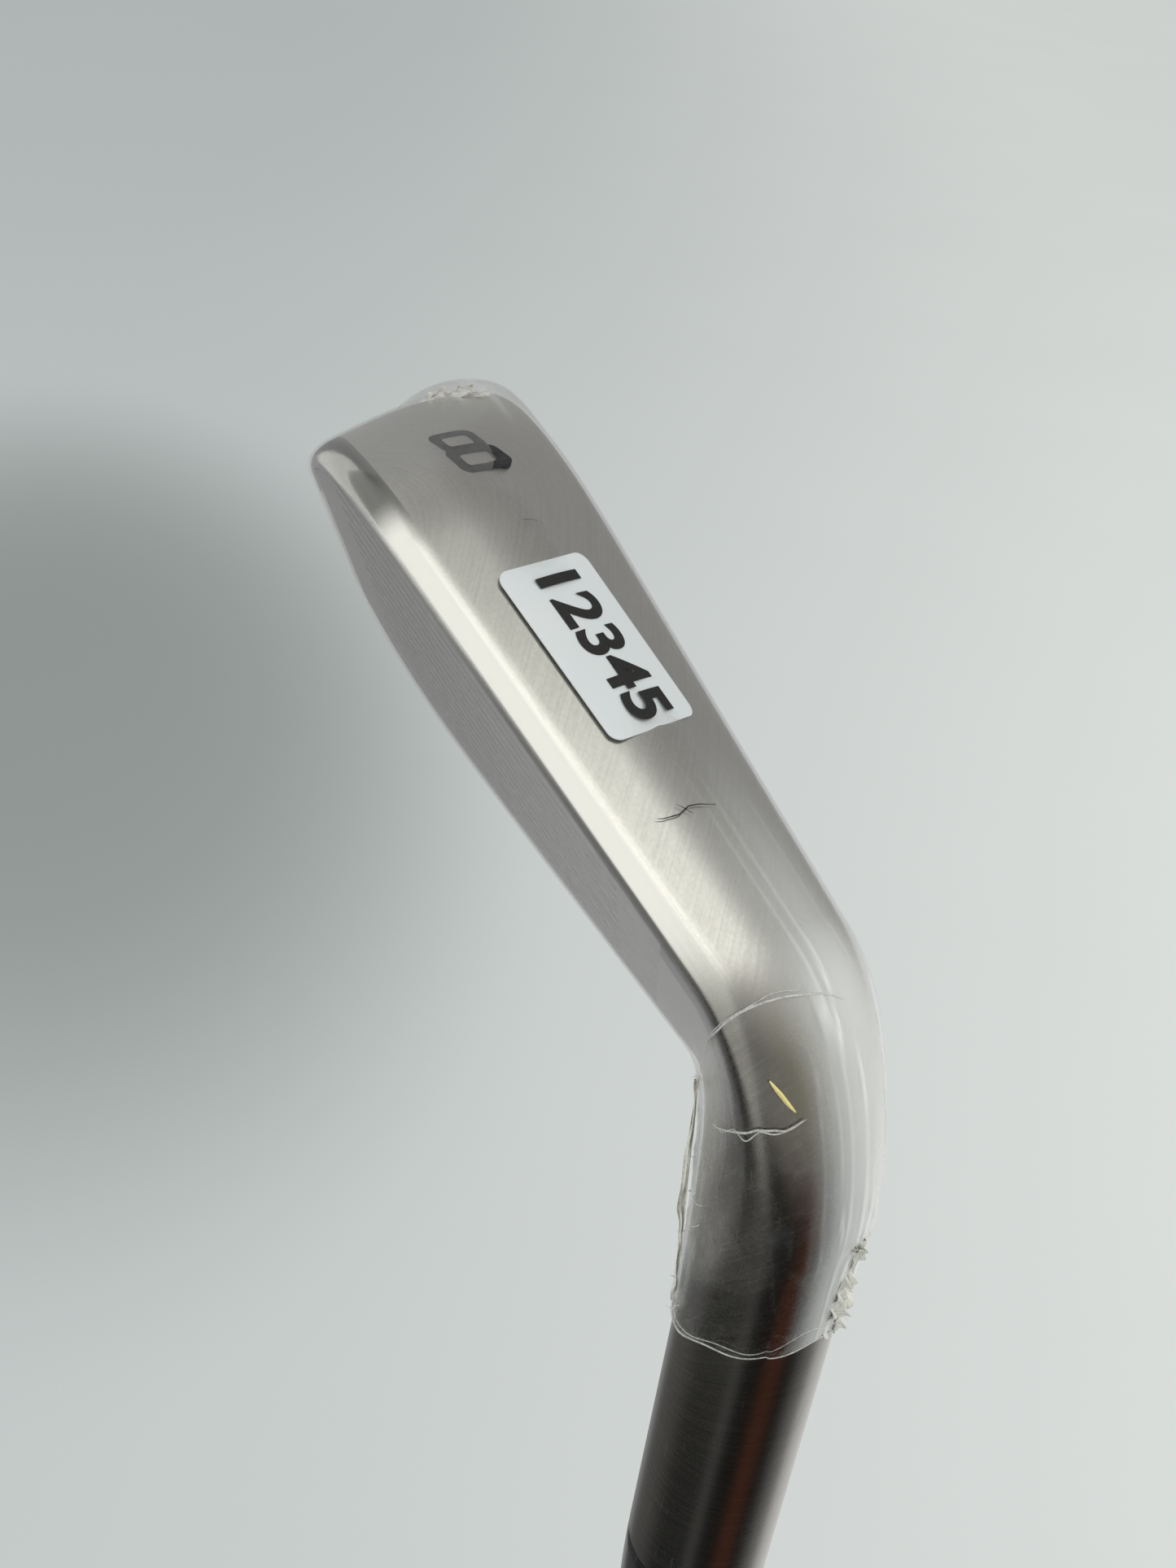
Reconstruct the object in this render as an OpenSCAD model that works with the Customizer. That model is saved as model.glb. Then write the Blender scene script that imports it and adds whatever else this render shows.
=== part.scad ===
// Left-handed 8 iron: cavity-back head with a welded face, stepped steel shaft and rubber grip.
// Row frame: +Z runs up the shaft axis from the butt of the grip to the head, -Y is the side the
// face looks to. The head is drawn in its own address frame: x to the toe, y to the back, z up.

/* [Club] */
// Length from the butt face to the ground, along the shaft axis
club_len = 927; // [880:1:960]
// Lie, the angle between shaft and ground
lie = 62.3; // [61:0.1:64]
// Loft of the face from the vertical
loft = 32.3; // [30:0.1:36]

/* [Blade] */
// Distance from the shaft axis, at the ground, to the toe
toe_x = 69.5; // [67:0.5:74]
// Height of the toe's furthest point, up the face
toe_t = 29; // [26:0.5:32]
// Height of the top line's peak, up the face
peak_t = 57; // [54:0.5:60]
// Place of the peak along the blade
peak_x = 56; // [53:0.5:59]
// Rise of the top line for each millimetre towards the toe
top_slope = 0.56; // [0.5:0.01:0.6]
// Rounding of the top line's peak
peak_round = 4; // [3:0.5:6]
// Place along the blade where the sole turns up to the toe
corner_x = 48; // [45:0.5:52]
// Squareness of the toe's curves
toe_power = 2.25; // [2:0.05:2.6]
// Thickness of the top line
top_thick = 6; // [5:0.1:7]
// Width of the sole at the middle of the blade
sole_w = 23.9; // [22:0.1:26]
// Width of the band round the toe
toe_band = 11.5; // [10:0.5:14]
// Bulge of the sole's camber
camber = 2.8; // [2.4:0.1:3.2]
// Length of the rounding at the leading edge
lead_cut = 3.2; // [2.4:0.1:4]
// Forward place of the leading edge corner
lead_y = -3.0; // [-4:0.1:-2]

/* [Hosel] */
// Outer diameter of the hosel
hosel_d = 13.4; // [13:0.1:14]
// Height of the hosel's end, along the shaft axis from the ground
hosel_top = 64.3; // [62:0.1:68]
// Back set of the shaft axis
axis_y = 5.3; // [4.5:0.1:6]
// Bore for the shaft tip
bore_d = 9.8; // [9.7:0.05:9.9]
// Depth of the bore
bore_depth = 32; // [30:0.5:34]
// Radius of the crotch between top line and hosel
crotch_r = 12; // [10:0.5:14]
// Radius of the heel
heel_r = 25; // [22:0.5:27]

/* [Face and cavity] */
// Thickness of the welded face plate
plate_t = 2.4; // [2:0.1:3]
// Width of the rim left round the face plate
plate_rim = 2.6; // [2.2:0.1:3.5]
// Width of the rim left round the cavity window
window_rim = 6; // [5.5:0.1:7]
// Number of score lines
score_count = 13; // [9:1:14]
// Spacing of the score lines
score_pitch = 3.3; // [3:0.05:3.5]
// Width of a score line
score_w = 0.8; // [0.6:0.05:0.9]
// Thickness of the badge
badge_t = 1.5; // [1:0.1:2]
// Thickness of the damping tape under the badge
tape_t = 1.0; // [0.8:0.1:1.4]
// Diameter of the dense slug at the toe
slug_d = 6; // [4:0.5:6]

/* [Shaft] */
// Tip diameter
tip_d = 9.4; // [9.3:0.05:9.5]
// Butt diameter
butt_d = 15.2; // [14.8:0.1:15.5]
// Wall of the tube
shaft_wall = 0.5; // [0.45:0.05:0.8]
// Number of steps
step_count = 11; // [8:1:14]
// Distance between steps
step_pitch = 38; // [34:1:44]
// Length of the ferrule
ferrule_len = 20; // [16:1:25]

/* [Grip] */
// Length of the grip with its cap
grip_len = 268; // [255:1:275]
// Diameter of the cap
cap_d = 26.8; // [26:0.1:28]
// Diameter of the grip at its mouth
mouth_d = 17.6; // [17.2:0.1:18.5]
// Thickness of the cap
cap_t = 5; // [4:0.5:6]
// Diameter of the vent hole in the cap
vent_d = 3.2; // [2.5:0.1:4]

/* [Wrapping] */
// Gap between head and film
film_gap = 0.3; // [0.25:0.05:0.4]
// Thickness of the film
film_t = 0.12; // [0.1:0.02:0.2]
// Radius of the film across the crotch
web_r = 13; // [12.5:0.5:15]

/* [Stock label] */
// Length of the label along the sole
label_len = 17; // [14:0.5:20]
// Width of the label across the sole
label_w = 10.2; // [8:0.2:11]

/* [Hidden] */
$fn = 64;
eps = 0.02;

// ---- head, drawn as a loft of closed sections in the address frame ----
hosel_r = hosel_d / 2;
lead_z = -0.2;
heel_x = 7.5;
top_lean = 22;
toe_round = 2.2;
sole_taper = 0.14;
blade_steps = 34;
fan_steps = 14;
hosel_steps = 4;
loft_end_t = 44;
cavity_knee = 0.18;
straight_knee = 0.54;
waist_up = 0.46;
film_end = 1.4;
// points on each of the six rounded corners, and inside the straight that follows it
corner_n = [5, 4, 4, 4, 4, 8];
straight_n = [9, 1, 4, 3, 1, 1];
corner_cut = [lead_cut, 1.1, 2, 6, 3, 12];
ring_n = 48;
ring_start = 45;

function lerp(a, b, k) = a + (b - a) * k;
function ramp(a, b, x) = let (k = min(1, max(0, (x - a) / (b - a)))) k * k * (3 - 2 * k);
function unit(v) = v / max(norm(v), 1e-6);
// quarter of a superellipse, 1 at k = 0 and 0 at k = 1
function bend(k) = pow(max(0, 1 - pow(max(0, k), toe_power)), 1 / toe_power);
// the face's outline: height up the face of the top line and of the leading edge
function top_t(x) = x < peak_x
    ? peak_t + peak_round - norm([top_slope * (peak_x - x), peak_round])
    : toe_t + (peak_t - toe_t) * bend((x - peak_x) / (toe_x - peak_x));
function low_t(x) = toe_t * (1 - bend((x - corner_x) / (toe_x - corner_x)));
// height t up the face and depth d behind it, turned into the address frame's y and z
function address(p) = [lead_y + p[0] * sin(loft) + p[1] * cos(loft),
    lead_z + p[0] * cos(loft) - p[1] * sin(loft)];
// how far the toe's last millimetres are rounded off, front and back
function nose(x) = let (k = max(0, (x - toe_x + toe_round) / toe_round))
    toe_round * (1 - sqrt(1 - k * k));

// corners of the blade's section at x: leading edge, brow, top back, waist, trailing edge, sole
function corners(x, high, knee) =
    let (low = low_t(x), up = ramp(0, toe_t, low), in = nose(x),
        w = lerp(sole_w + sole_taper * (x - 38), toe_band, up) - 2 * in,
        tilt = lerp(loft + 7.5, 4, up), lead = [low, in],
        rear = lead + w * [sin(tilt), cos(tilt)],
        bulge = lerp(camber, 2, up) * min(1, w / toe_band),
        sole = (lead + rear) / 2 + bulge * [-cos(tilt), sin(tilt)],
        brow = [high, in], back = [high, top_thick],
        waist = [lerp(rear[0], back[0], waist_up), lerp(back[1], rear[1], knee)])
    [lead, brow, back, waist, rear, sole];
function cut(c, i) = min(corner_cut[i], 0.46 * norm(c[i] - c[(i + 5) % 6]),
    0.46 * norm(c[(i + 1) % 6] - c[i]));
// the section with each corner replaced by a quadratic curve
function rounded(c) = [for (i = [0:5])
    let (before = c[(i + 5) % 6], here = c[i], after = c[(i + 1) % 6],
        a = here + cut(c, i) * unit(before - here), b = here + cut(c, i) * unit(after - here),
        next = after + cut(c, (i + 1) % 6) * unit(here - after))
    each concat(
        [for (k = [0:corner_n[i] - 1]) let (u = k / (corner_n[i] - 1))
            (1 - u) * (1 - u) * a + 2 * u * (1 - u) * here + u * u * b],
        [for (k = [1:straight_n[i]]) lerp(b, next, k / (straight_n[i] + 1))])];
function grown(ring, by) = [for (i = [0:ring_n - 1])
    let (d = unit(ring[(i + 1) % ring_n] - ring[(i + ring_n - 1) % ring_n]))
    ring[i] + by * [-d[1], d[0]]];

// round the heel the sections fan between two arcs, the crotch's and the heel's
up_axis = [-cos(lie), sin(lie)];
heel_c = [heel_x, heel_r];
function ray(a) = [-sin(a), -cos(a)];
function on_hosel(t, side) = t * up_axis - side * hosel_r * ray(lie);
function top_point(x) = [x, address([top_t(x), 0])[1]];
// how high up the hosel a crotch arc of radius r starts, so that it also meets the top line
function crotch_t(r) = let (n = ray(-top_lean))
    ((top_point(heel_x - 2) - r * n) * n + (hosel_r + r) * ray(lie) * n) / (up_axis * n);
function crotch_c(r) = crotch_t(r) * up_axis - (hosel_r + r) * ray(lie);
foot_t = (heel_c + heel_r * ray(lie)) * up_axis;
// foot and top of section w: 0 to 1 round the heel, 1 to 2 up the hosel
function spine(w, r) = w <= 1
    ? [heel_c + heel_r * ray(lie * w), crotch_c(r) + r * ray(lerp(-top_lean, lie, w))]
    : [on_hosel(lerp(foot_t, loft_end_t, w - 1), -1),
        on_hosel(lerp(crotch_t(r), loft_end_t, w - 1), 1)];

function fan_section(w, r, knee, grow) =
    let (s = spine(w, r), tall = norm(s[1] - s[0]), dir = unit(s[1] - s[0]),
        flat = [for (p = rounded(corners(heel_x, (tall - lead_z) / cos(loft), knee))) address(p)],
        mixed = [for (i = [0:ring_n - 1])
            let (a = ring_start + 360 * i / ring_n)
            lerp(flat[i], [axis_y - hosel_r * sin(a), tall / 2 * (1 - cos(a))], ramp(-0.05, 0.95, w))])
    [for (p = grown(mixed, grow)) [s[0][0] + dir[0] * p[1], p[0], s[0][1] + dir[1] * p[1]]];
function blade_section(k, r, knee, grow) =
    let (x = heel_x + (toe_x - heel_x) * sin(90 * k),
        lean = (heel_x - spine(0, r)[1][0]) * (1 - ramp(heel_x, heel_x + 24, x)),
        high = top_t(x - lean), tall = address([high, 0])[1],
        flat = [for (p = rounded(corners(x, high, knee))) address(p)])
    [for (p = grown(flat, grow)) [x - lean * p[1] / tall + grow * ramp(0.5, 1, k), p[0], p[1]]];
function sections(r, knee, grow, start) = concat(
    [for (i = [0:hosel_steps - 1]) fan_section(lerp(start, 1, i / hosel_steps), r, knee, grow)],
    [for (i = [0:fan_steps]) fan_section(1 - i / fan_steps, r, knee, grow)],
    [for (i = [1:blade_steps]) blade_section(i / blade_steps, r, knee, grow)]);

// faces that join ring after ring; ends are closed with one polygon each
function strip(from, to) = [for (j = [0:ring_n - 1]) let (k = (j + 1) % ring_n) each
    [[from + j, from + k, to + j], [to + j, from + k, to + k]]];
function cap(at, way) = [for (j = way > 0 ? [0:ring_n - 1] : [ring_n - 1:-1:0]) at + j];
module closed_loft(rings) {
    last = (len(rings) - 1) * ring_n;
    polyhedron([for (ring = rings) each ring],
        concat([cap(0, -1)], [for (a = [0:ring_n:last - 1]) each strip(a, a + ring_n)], [cap(last, 1)]));
}
// a wall between two lofts, open at their first ring
module open_shell(outer, inner) {
    n = len(outer);
    last = (n - 1) * ring_n;
    polyhedron([for (ring = concat(outer, inner)) each ring],
        concat([for (a = [0:ring_n:last - 1]) each strip(a, a + ring_n)], [cap(last, 1)],
            [for (a = [last + ring_n:ring_n:2 * last]) each strip(a + ring_n, a)], [cap(2 * last + ring_n, -1)],
            strip(last + ring_n, 0)));
}

// z of the sole at x, y: the sole's quadratic curve solved for its parameter
function sole_z(x, y) =
    let (c = corners(x, top_t(x), cavity_knee), here = address(c[5]),
        a = address(c[5] + cut(c, 5) * unit(c[4] - c[5])),
        b = address(c[5] + cut(c, 5) * unit(c[0] - c[5])),
        p = a - 2 * here + b, q = 2 * (here - a), r = a[0] - y,
        u = 2 * r / (sqrt(q[0] * q[0] - 4 * p[0] * r) - q[0]))
    a[1] + u * q[1] + u * u * p[1];

// ---- places along the shaft axis, from the butt ----
hosel_z = club_len - hosel_top;
bore_end_z = hosel_z + bore_depth;
flange_t = 1;
tip_z = bore_end_z - flange_t;
step_z = 340;
butt_r = butt_d / 2;
tip_r = tip_d / 2;
tape_wall = 0.25;
tape_start = 12;
tape_end = grip_len - 10;
band_z = 290;
band_len = 34;
band_wall = 0.1;
step_len = 3;

// ---- frames ----
module in_head() { translate([0, -axis_y, club_len]) rotate([0, 270 - lie, 0]) children(); }
// local X to the toe, Y up the face, Z out of the face
module on_face() { in_head() translate([0, lead_y, lead_z]) rotate([90 - loft, 0, 0]) children(); }
module behind_face(depth, thick) { on_face() translate([0, 0, -depth - thick]) linear_extrude(thick) children(); }
// local Z out of the sole, Y towards the toe
module under_sole(x, y, z, tilt) {
    in_head() translate([x, y, z]) rotate([0, -tilt, 0]) rotate([180, 0, 90]) children();
}

// ---- outlines on the face plane ----
outline_steps = 22;
function rear_t(x) = corners(x, top_t(x), cavity_knee)[4][0];
// k = 0 follows the leading edge, k = 1 the trailing edge
module face_outline(x0, x1, k, low_rim, top_rim) {
    xs = [for (i = [0:outline_steps]) lerp(x0, x1, i / outline_steps)];
    polygon(concat([for (x = xs) [x, lerp(low_t(x), rear_t(x), k) + low_rim]],
        [for (i = [outline_steps:-1:0]) [xs[i], top_t(xs[i]) - top_rim]]));
}
plate_x0 = 12;
plate_x1 = toe_x - 3.2;
module plate_outline() { face_outline(plate_x0, plate_x1, 0, lead_cut + 0.4, plate_rim); }
score_x0 = 18;
score_x1 = 61;
score_t0 = 7;
window_x0 = 15;
window_x1 = toe_x - window_rim - 2;
muscle_rim = 5;
fit_gap = 0.4;
module window_outline(gap) {
    face_outline(window_x0 + gap, window_x1 - gap, 1, muscle_rim + gap, window_rim + gap);
}

// ---- head ----
digit_x = 56.6;
digit_y = 10.6;
digit_z = 0.75;
digit_tilt = 20.6;
paint_floor = 0.55;
paint_t = 0.25;
slug_t = 30;
slug_back = 6;
slug_len = 5;
module slug(extra) {
    on_face() translate([window_x1 - extra, slug_t, -slug_back]) rotate([0, 90, 0])
        cylinder(d = slug_d, h = slug_len + extra);
}
module slab(w, h, x, y) { translate([x - w / 2, y - h / 2]) square([w, h]); }
module rounded_slab(w, h, r, y) {
    slab(w - 2 * r, h, 0, y);
    slab(w, h - 2 * r, 0, y);
    for (i = [-1, 1], j = [-1, 1]) translate([i * (w / 2 - r), y + j * (h / 2 - r)]) circle(r);
}
// a plain block 8, two counters in two stacked loops
module eight() {
    difference() {
        union() {
            rounded_slab(5.6, 3.5, 1, -1.35);
            rounded_slab(4.9, 3.3, 1, 1.45);
        }
        slab(3.4, 1.5, 0, -1.4);
        slab(2.8, 1.4, 0, 1.45);
    }
}
module digit_prism(floor, thick) {
    under_sole(digit_x, digit_y, digit_z, digit_tilt) translate([0, 0, -floor]) linear_extrude(thick) eight();
}
module hosel_tube() {
    rim = 0.4;
    r = hosel_r + eps;
    start = club_len - loft_end_t + 2;
    rotate_extrude() polygon([[0, start], [r, start], [r, hosel_z + rim], [r - rim, hosel_z], [0, hosel_z]]);
}
module head_body() {
    color([0.72, 0.71, 0.68]) difference() {
        union() {
            in_head() closed_loft(sections(crotch_r, cavity_knee, 0, 2));
            hosel_tube();
        }
        translate([0, 0, hosel_z - 1]) cylinder(d = bore_d, h = bore_depth + 1);
        behind_face(-1, plate_t + 1) plate_outline();
        behind_face(plate_t - eps, 30) window_outline(0);
        slug(eps);
        digit_prism(paint_floor, 2);
    }
}
module face_plate() {
    groove_d = 0.4;
    color([0.55, 0.56, 0.56]) difference() {
        behind_face(0, plate_t) plate_outline();
        for (i = [0:score_count - 1]) on_face() translate([score_x0, score_t0 + i * score_pitch, -groove_d])
            cube([score_x1 - score_x0, score_w, 1]);
    }
}
module number_fill() { color([0.16, 0.17, 0.17]) digit_prism(paint_floor, paint_t); }
module toe_weight() { color([0.42, 0.42, 0.44]) slug(0); }
module badge_tape() { color([0.1, 0.1, 0.1]) behind_face(plate_t, tape_t) window_outline(fit_gap + 0.6); }
module cavity_badge() {
    rib_t = 0.8;
    rib_w = 2.2;
    rib_pitch = 6;
    color([0.25, 0.26, 0.28]) {
        behind_face(plate_t + tape_t, badge_t) window_outline(fit_gap);
        behind_face(plate_t + tape_t + badge_t, rib_t) intersection() {
            window_outline(fit_gap + 2);
            for (i = [0:3]) translate([0, 22 + i * rib_pitch]) square([window_x1, rib_w]);
        }
    }
}

// ---- shaft and its joint ----
module ring_of(z, h, r_in, r_out) {
    translate([0, 0, z]) difference() {
        cylinder(r = r_out, h = h);
        translate([0, 0, -1]) cylinder(r = r_in, h = h + 2);
    }
}
module hosel_epoxy() { color([0.75, 0.68, 0.4]) ring_of(hosel_z, bore_depth, tip_r, bore_d / 2); }
module tip_weight() {
    plug_len = 12;
    color([0.75, 0.6, 0.3]) union() {
        translate([0, 0, tip_z - plug_len]) cylinder(r = tip_r - shaft_wall, h = plug_len + flange_t);
        translate([0, 0, tip_z]) cylinder(r = tip_r, h = flange_t);
    }
}
function step_r(i) = lerp(butt_r, tip_r, i / step_count);
module shaft() {
    edge = concat([[butt_r, cap_t]],
        [for (i = [0:step_count - 1]) let (z = step_z + i * step_pitch) each
            [[step_r(i), z], [step_r(i + 1), z + step_len]]],
        [[tip_r, tip_z]]);
    color([0.8, 0.8, 0.8]) rotate_extrude() polygon(concat(edge,
        [for (i = [len(edge) - 1:-1:0]) [edge[i][0] - shaft_wall, edge[i][1]]]));
}
module ferrule() {
    lip = 0.55;
    swell = 5;
    color([0.05, 0.05, 0.05]) rotate_extrude() polygon(concat(
        [[tip_r, hosel_z], [hosel_r, hosel_z]],
        [for (k = [1:swell]) [lerp(tip_r + lip, hosel_r, pow(cos(90 * k / swell), 0.7)), hosel_z - ferrule_len * k / swell]],
        [[tip_r, hosel_z - ferrule_len]]));
}
module shaft_band() { color([0.2, 0.22, 0.25]) ring_of(band_z, band_len, butt_r, butt_r + band_wall); }

// ---- grip ----
grip_in = butt_r + tape_wall;
shoulder_r = cap_d / 2 - 0.3;
module grip_tape() { color([0.9, 0.88, 0.8]) ring_of(tape_start, tape_end - tape_start, butt_r, grip_in); }
// outer radius of the grip at z, a quick fall below the cap and then a straight taper
function grip_r(z) = lerp(mouth_d / 2, shoulder_r - 1.6, (grip_len - z) / grip_len)
    + 1.6 * exp(-(z - cap_t) / 18);
module grip_sleeve() {
    rings = 16;
    lip_len = 3;
    color([0.08, 0.08, 0.08]) rotate_extrude() polygon(concat(
        [[butt_r, cap_t]],
        [for (i = [0:rings]) let (z = lerp(cap_t, grip_len - lip_len, i / rings)) [grip_r(z), z]],
        [[mouth_d / 2 + 0.5, grip_len - lip_len], [mouth_d / 2 + 0.2, grip_len], [butt_r, grip_len],
            [butt_r, tape_end], [grip_in, tape_end], [grip_in, tape_start], [butt_r, tape_start]]));
}
module grip_cap() {
    r = cap_d / 2;
    edge = 1.2;
    color([0.1, 0.1, 0.1]) rotate_extrude() polygon([[vent_d / 2, 0], [r - edge, 0], [r, edge],
        [r, cap_t], [vent_d / 2, cap_t]]);
}

// ---- wrapping ----
module shrink_film() {
    color([0.9, 0.92, 0.93, 0.4]) in_head() open_shell(
        sections(web_r, straight_knee, film_gap + film_t, film_end),
        sections(web_r, straight_knee, film_gap, film_end));
}
label_x = 35.2;
label_y = 8.3;
label_t = 0.12;
print_t = 0.08;
label_off = film_gap + film_t + 0.05;
label_steps = 8;
// a sheet that follows the sole, low and high being distances out from it
module sole_sheet(low, high) {
    n = label_steps;
    m = n + 1;
    xs = [for (i = [0:n]) label_x + (label_len / 2 + 1) * (2 * i / n - 1)];
    ys = [for (j = [0:n]) label_y + (label_w / 2 + 1) * (2 * j / n - 1)];
    grid = [for (d = [low, high], x = xs, y = ys) [x, y, sole_z(x, y) - d]];
    top = m * m;
    in_head() polyhedron(grid, concat(
        [for (i = [0:n - 1], j = [0:n - 1]) let (a = i * m + j) each
            [[a, a + 1, a + m], [a + 1, a + m + 1, a + m],
            [top + a, top + a + m, top + a + 1], [top + a + 1, top + a + m, top + a + m + 1]]],
        [for (i = [0:n - 1]) let (a = i * m, b = i * m + n) each
            [[a, a + m, top + a], [a + m, top + a + m, top + a], [b, top + b, b + m], [b + m, top + b, top + b + m]]],
        [for (j = [0:n - 1]) let (b = n * m + j) each
            [[j, top + j, j + 1], [j + 1, top + j, top + j + 1], [b, b + 1, top + b], [b + 1, top + b + 1, top + b]]]));
}
// local X towards the heel and Y to the trailing edge, the way the digits are read
module through_label() {
    in_head() translate([label_x, label_y, -8]) rotate([180, 0, 180]) translate([0, 0, -12]) linear_extrude(16) children();
}
module stock_label() {
    color([0.93, 0.94, 0.95]) intersection() {
        sole_sheet(label_off, label_off + label_t);
        through_label() rounded_slab(label_len, label_w, 1, 0);
    }
}
bar = 0.75;
digit_w = 2.2;
digit_h = 4.6;
// block digits built of bars: across at three heights, down in the left, right and middle halves
module glyph(across, left, right, middle) {
    for (k = across) slab(digit_w, bar, 0, k * (digit_h - bar) / 2);
    for (k = left) slab(bar, digit_h / 2 + bar / 2, (bar - digit_w) / 2, k * (digit_h - bar) / 4);
    for (k = right) slab(bar, digit_h / 2 + bar / 2, (digit_w - bar) / 2, k * (digit_h - bar) / 4);
    for (k = middle) slab(bar, digit_h, 0, 0);
}
module stock_digits() {
    pitch = 3;
    translate([-2 * pitch, 0]) glyph([], [], [], [0]);
    translate([-pitch, 0]) glyph([-1, 0, 1], [-1], [1], []);
    glyph([-1, 0, 1], [], [-1, 1], []);
    translate([pitch, 0]) glyph([0], [1], [-1, 1], []);
    translate([2 * pitch, 0]) glyph([-1, 0, 1], [1], [-1], []);
}
module label_print() {
    color([0.05, 0.05, 0.05]) intersection() {
        sole_sheet(label_off + label_t, label_off + label_t + print_t);
        through_label() stock_digits();
    }
}

head_body();
face_plate();
number_fill();
toe_weight();
badge_tape();
cavity_badge();
hosel_epoxy();
tip_weight();
shaft();
ferrule();
shaft_band();
grip_tape();
grip_sleeve();
grip_cap();
shrink_film();
stock_label();
label_print();
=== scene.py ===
"""Looks of a left-handed 8 iron in its clear shrink film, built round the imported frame.

The head's shape is worked out in millimetres in its address frame, x to the toe, y to the back and z up,
and carried into the row frame, in metres, where +Z runs up the shaft from the butt to the head."""

import math

import bmesh
import bpy
import numpy as np
from mathutils import Matrix, Vector


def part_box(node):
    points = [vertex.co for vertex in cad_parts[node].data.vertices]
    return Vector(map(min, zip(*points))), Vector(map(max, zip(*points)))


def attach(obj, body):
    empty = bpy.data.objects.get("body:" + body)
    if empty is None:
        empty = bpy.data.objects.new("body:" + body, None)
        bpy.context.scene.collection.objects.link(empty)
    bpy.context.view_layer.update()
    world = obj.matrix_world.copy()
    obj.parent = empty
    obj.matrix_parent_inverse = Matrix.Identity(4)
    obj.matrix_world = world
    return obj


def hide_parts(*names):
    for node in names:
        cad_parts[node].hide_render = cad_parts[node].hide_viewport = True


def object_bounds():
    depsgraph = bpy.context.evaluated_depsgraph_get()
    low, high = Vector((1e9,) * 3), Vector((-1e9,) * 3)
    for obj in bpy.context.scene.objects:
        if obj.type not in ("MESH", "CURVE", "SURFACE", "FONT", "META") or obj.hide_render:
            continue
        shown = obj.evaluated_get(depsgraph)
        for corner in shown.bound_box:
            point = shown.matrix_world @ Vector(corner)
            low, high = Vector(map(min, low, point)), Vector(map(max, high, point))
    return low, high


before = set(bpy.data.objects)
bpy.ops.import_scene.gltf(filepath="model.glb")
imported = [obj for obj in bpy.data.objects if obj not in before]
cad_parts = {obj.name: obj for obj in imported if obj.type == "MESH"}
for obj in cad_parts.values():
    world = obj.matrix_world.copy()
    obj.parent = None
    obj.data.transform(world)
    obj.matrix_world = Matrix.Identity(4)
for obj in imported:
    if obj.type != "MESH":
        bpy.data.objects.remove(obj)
cad_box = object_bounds()
MM = 0.001
BODY = "root"

# ---- driving dimensions of the head, millimetres and radians ----
LIE = math.radians(62.3)
LOFT = math.radians(32.3)
TOP_LEAN = math.radians(22)
TOE_X, TOE_T = 69.5, 29.0
PEAK_X, PEAK_T, PEAK_ROUND, TOP_SLOPE = 56.0, 57.0, 4.0, 0.56
CORNER_X, TOE_POWER, TOE_ROUND = 48.0, 2.25, 2.2
TOP_THICK, SOLE_W, SOLE_TAPER, TOE_BAND, CAMBER = 6.0, 23.9, 0.14, 11.5, 2.8
LEAD_Y, LEAD_Z, HEEL_X = -3.0, -0.2, 7.5
HOSEL_R, HOSEL_TOP, AXIS_Y, LOFT_END, HOSEL_LIP = 6.7, 64.3, 5.3, 44.0, 0.4
# millimetres up the hosel for each 1 that the section value w goes past 2
HOSEL_RUN = 10
CROTCH_R, HEEL_R, WEB_R = 12.0, 25.0, 13.0
CAVITY_KNEE, STRAIGHT_KNEE, WAIST_UP = 0.18, 0.54, 0.46
CORNER_CUT = np.array([3.2, 1.1, 2.0, 6.0, 3.0, 12.0])
CORNER_STEPS = [4, 3, 3, 3, 3, 7]
LINE_STEPS = [10, 2, 5, 4, 2, 2]
RING_START = math.radians(45)
PLATE_T, PLATE_X0, PLATE_RIM = 2.4, 12.0, 2.6
WINDOW_X0, WINDOW_RIM, MUSCLE_RIM = 15.0, 6.0, 5.0
BORE_R, BORE_DEPTH = 4.9, 32.0
SLUG_R, SLUG_T, SLUG_BACK = 3.0, 30.0, 6.0
FILM_GAP, FILM_T, FILM_END = 0.12, 0.1, 1.4
LABEL_X, LABEL_Y, LABEL_LEN, LABEL_W, LABEL_T = 35.2, 8.3, 17.0, 10.2, 0.12
LABEL_OFF = FILM_GAP + FILM_T + 0.05
DIGIT_AT, DIGIT_TILT, DIGIT_DEPTH = (56.6, 10.6, 0.75), math.radians(20.6), 0.55
DIGIT_PROUD, PAINT_SUNK, HAIR = 1.5, 0.12, 0.003
PAST_REAR, SLUG_DEPTH = 30, 5

HOSEL_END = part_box("head_body")[0].z / MM
GROUND = HOSEL_END + HOSEL_TOP


# ---- the shape functions of the head ----
def lerp(a, b, k):
    """a where k is 0, b where it is 1, and a straight blend between."""
    return a + (b - a) * k


def ramp(a, b, x):
    """Smooth rise from 0 at a to 1 at b."""
    k = np.clip((x - a) / (b - a), 0, 1)
    return k * k * (3 - 2 * k)


def unit(v):
    """Vectors divided by their lengths."""
    return v / np.maximum(np.linalg.norm(v, axis=-1, keepdims=True), 1e-9)


def bend(k):
    """Quarter of a superellipse, 1 at k = 0 and 0 at k = 1."""
    return np.maximum(0, 1 - np.maximum(0, k) ** TOE_POWER) ** (1 / TOE_POWER)


def top_t(x):
    """Height of the top line up the face: a slope that rounds over at the peak, then a superellipse down
    to the toe."""
    rise = PEAK_T + PEAK_ROUND - np.hypot(TOP_SLOPE * (PEAK_X - x), PEAK_ROUND)
    fall = TOE_T + (PEAK_T - TOE_T) * bend((x - PEAK_X) / (TOE_X - PEAK_X))
    return np.where(x < PEAK_X, rise, fall)


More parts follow.
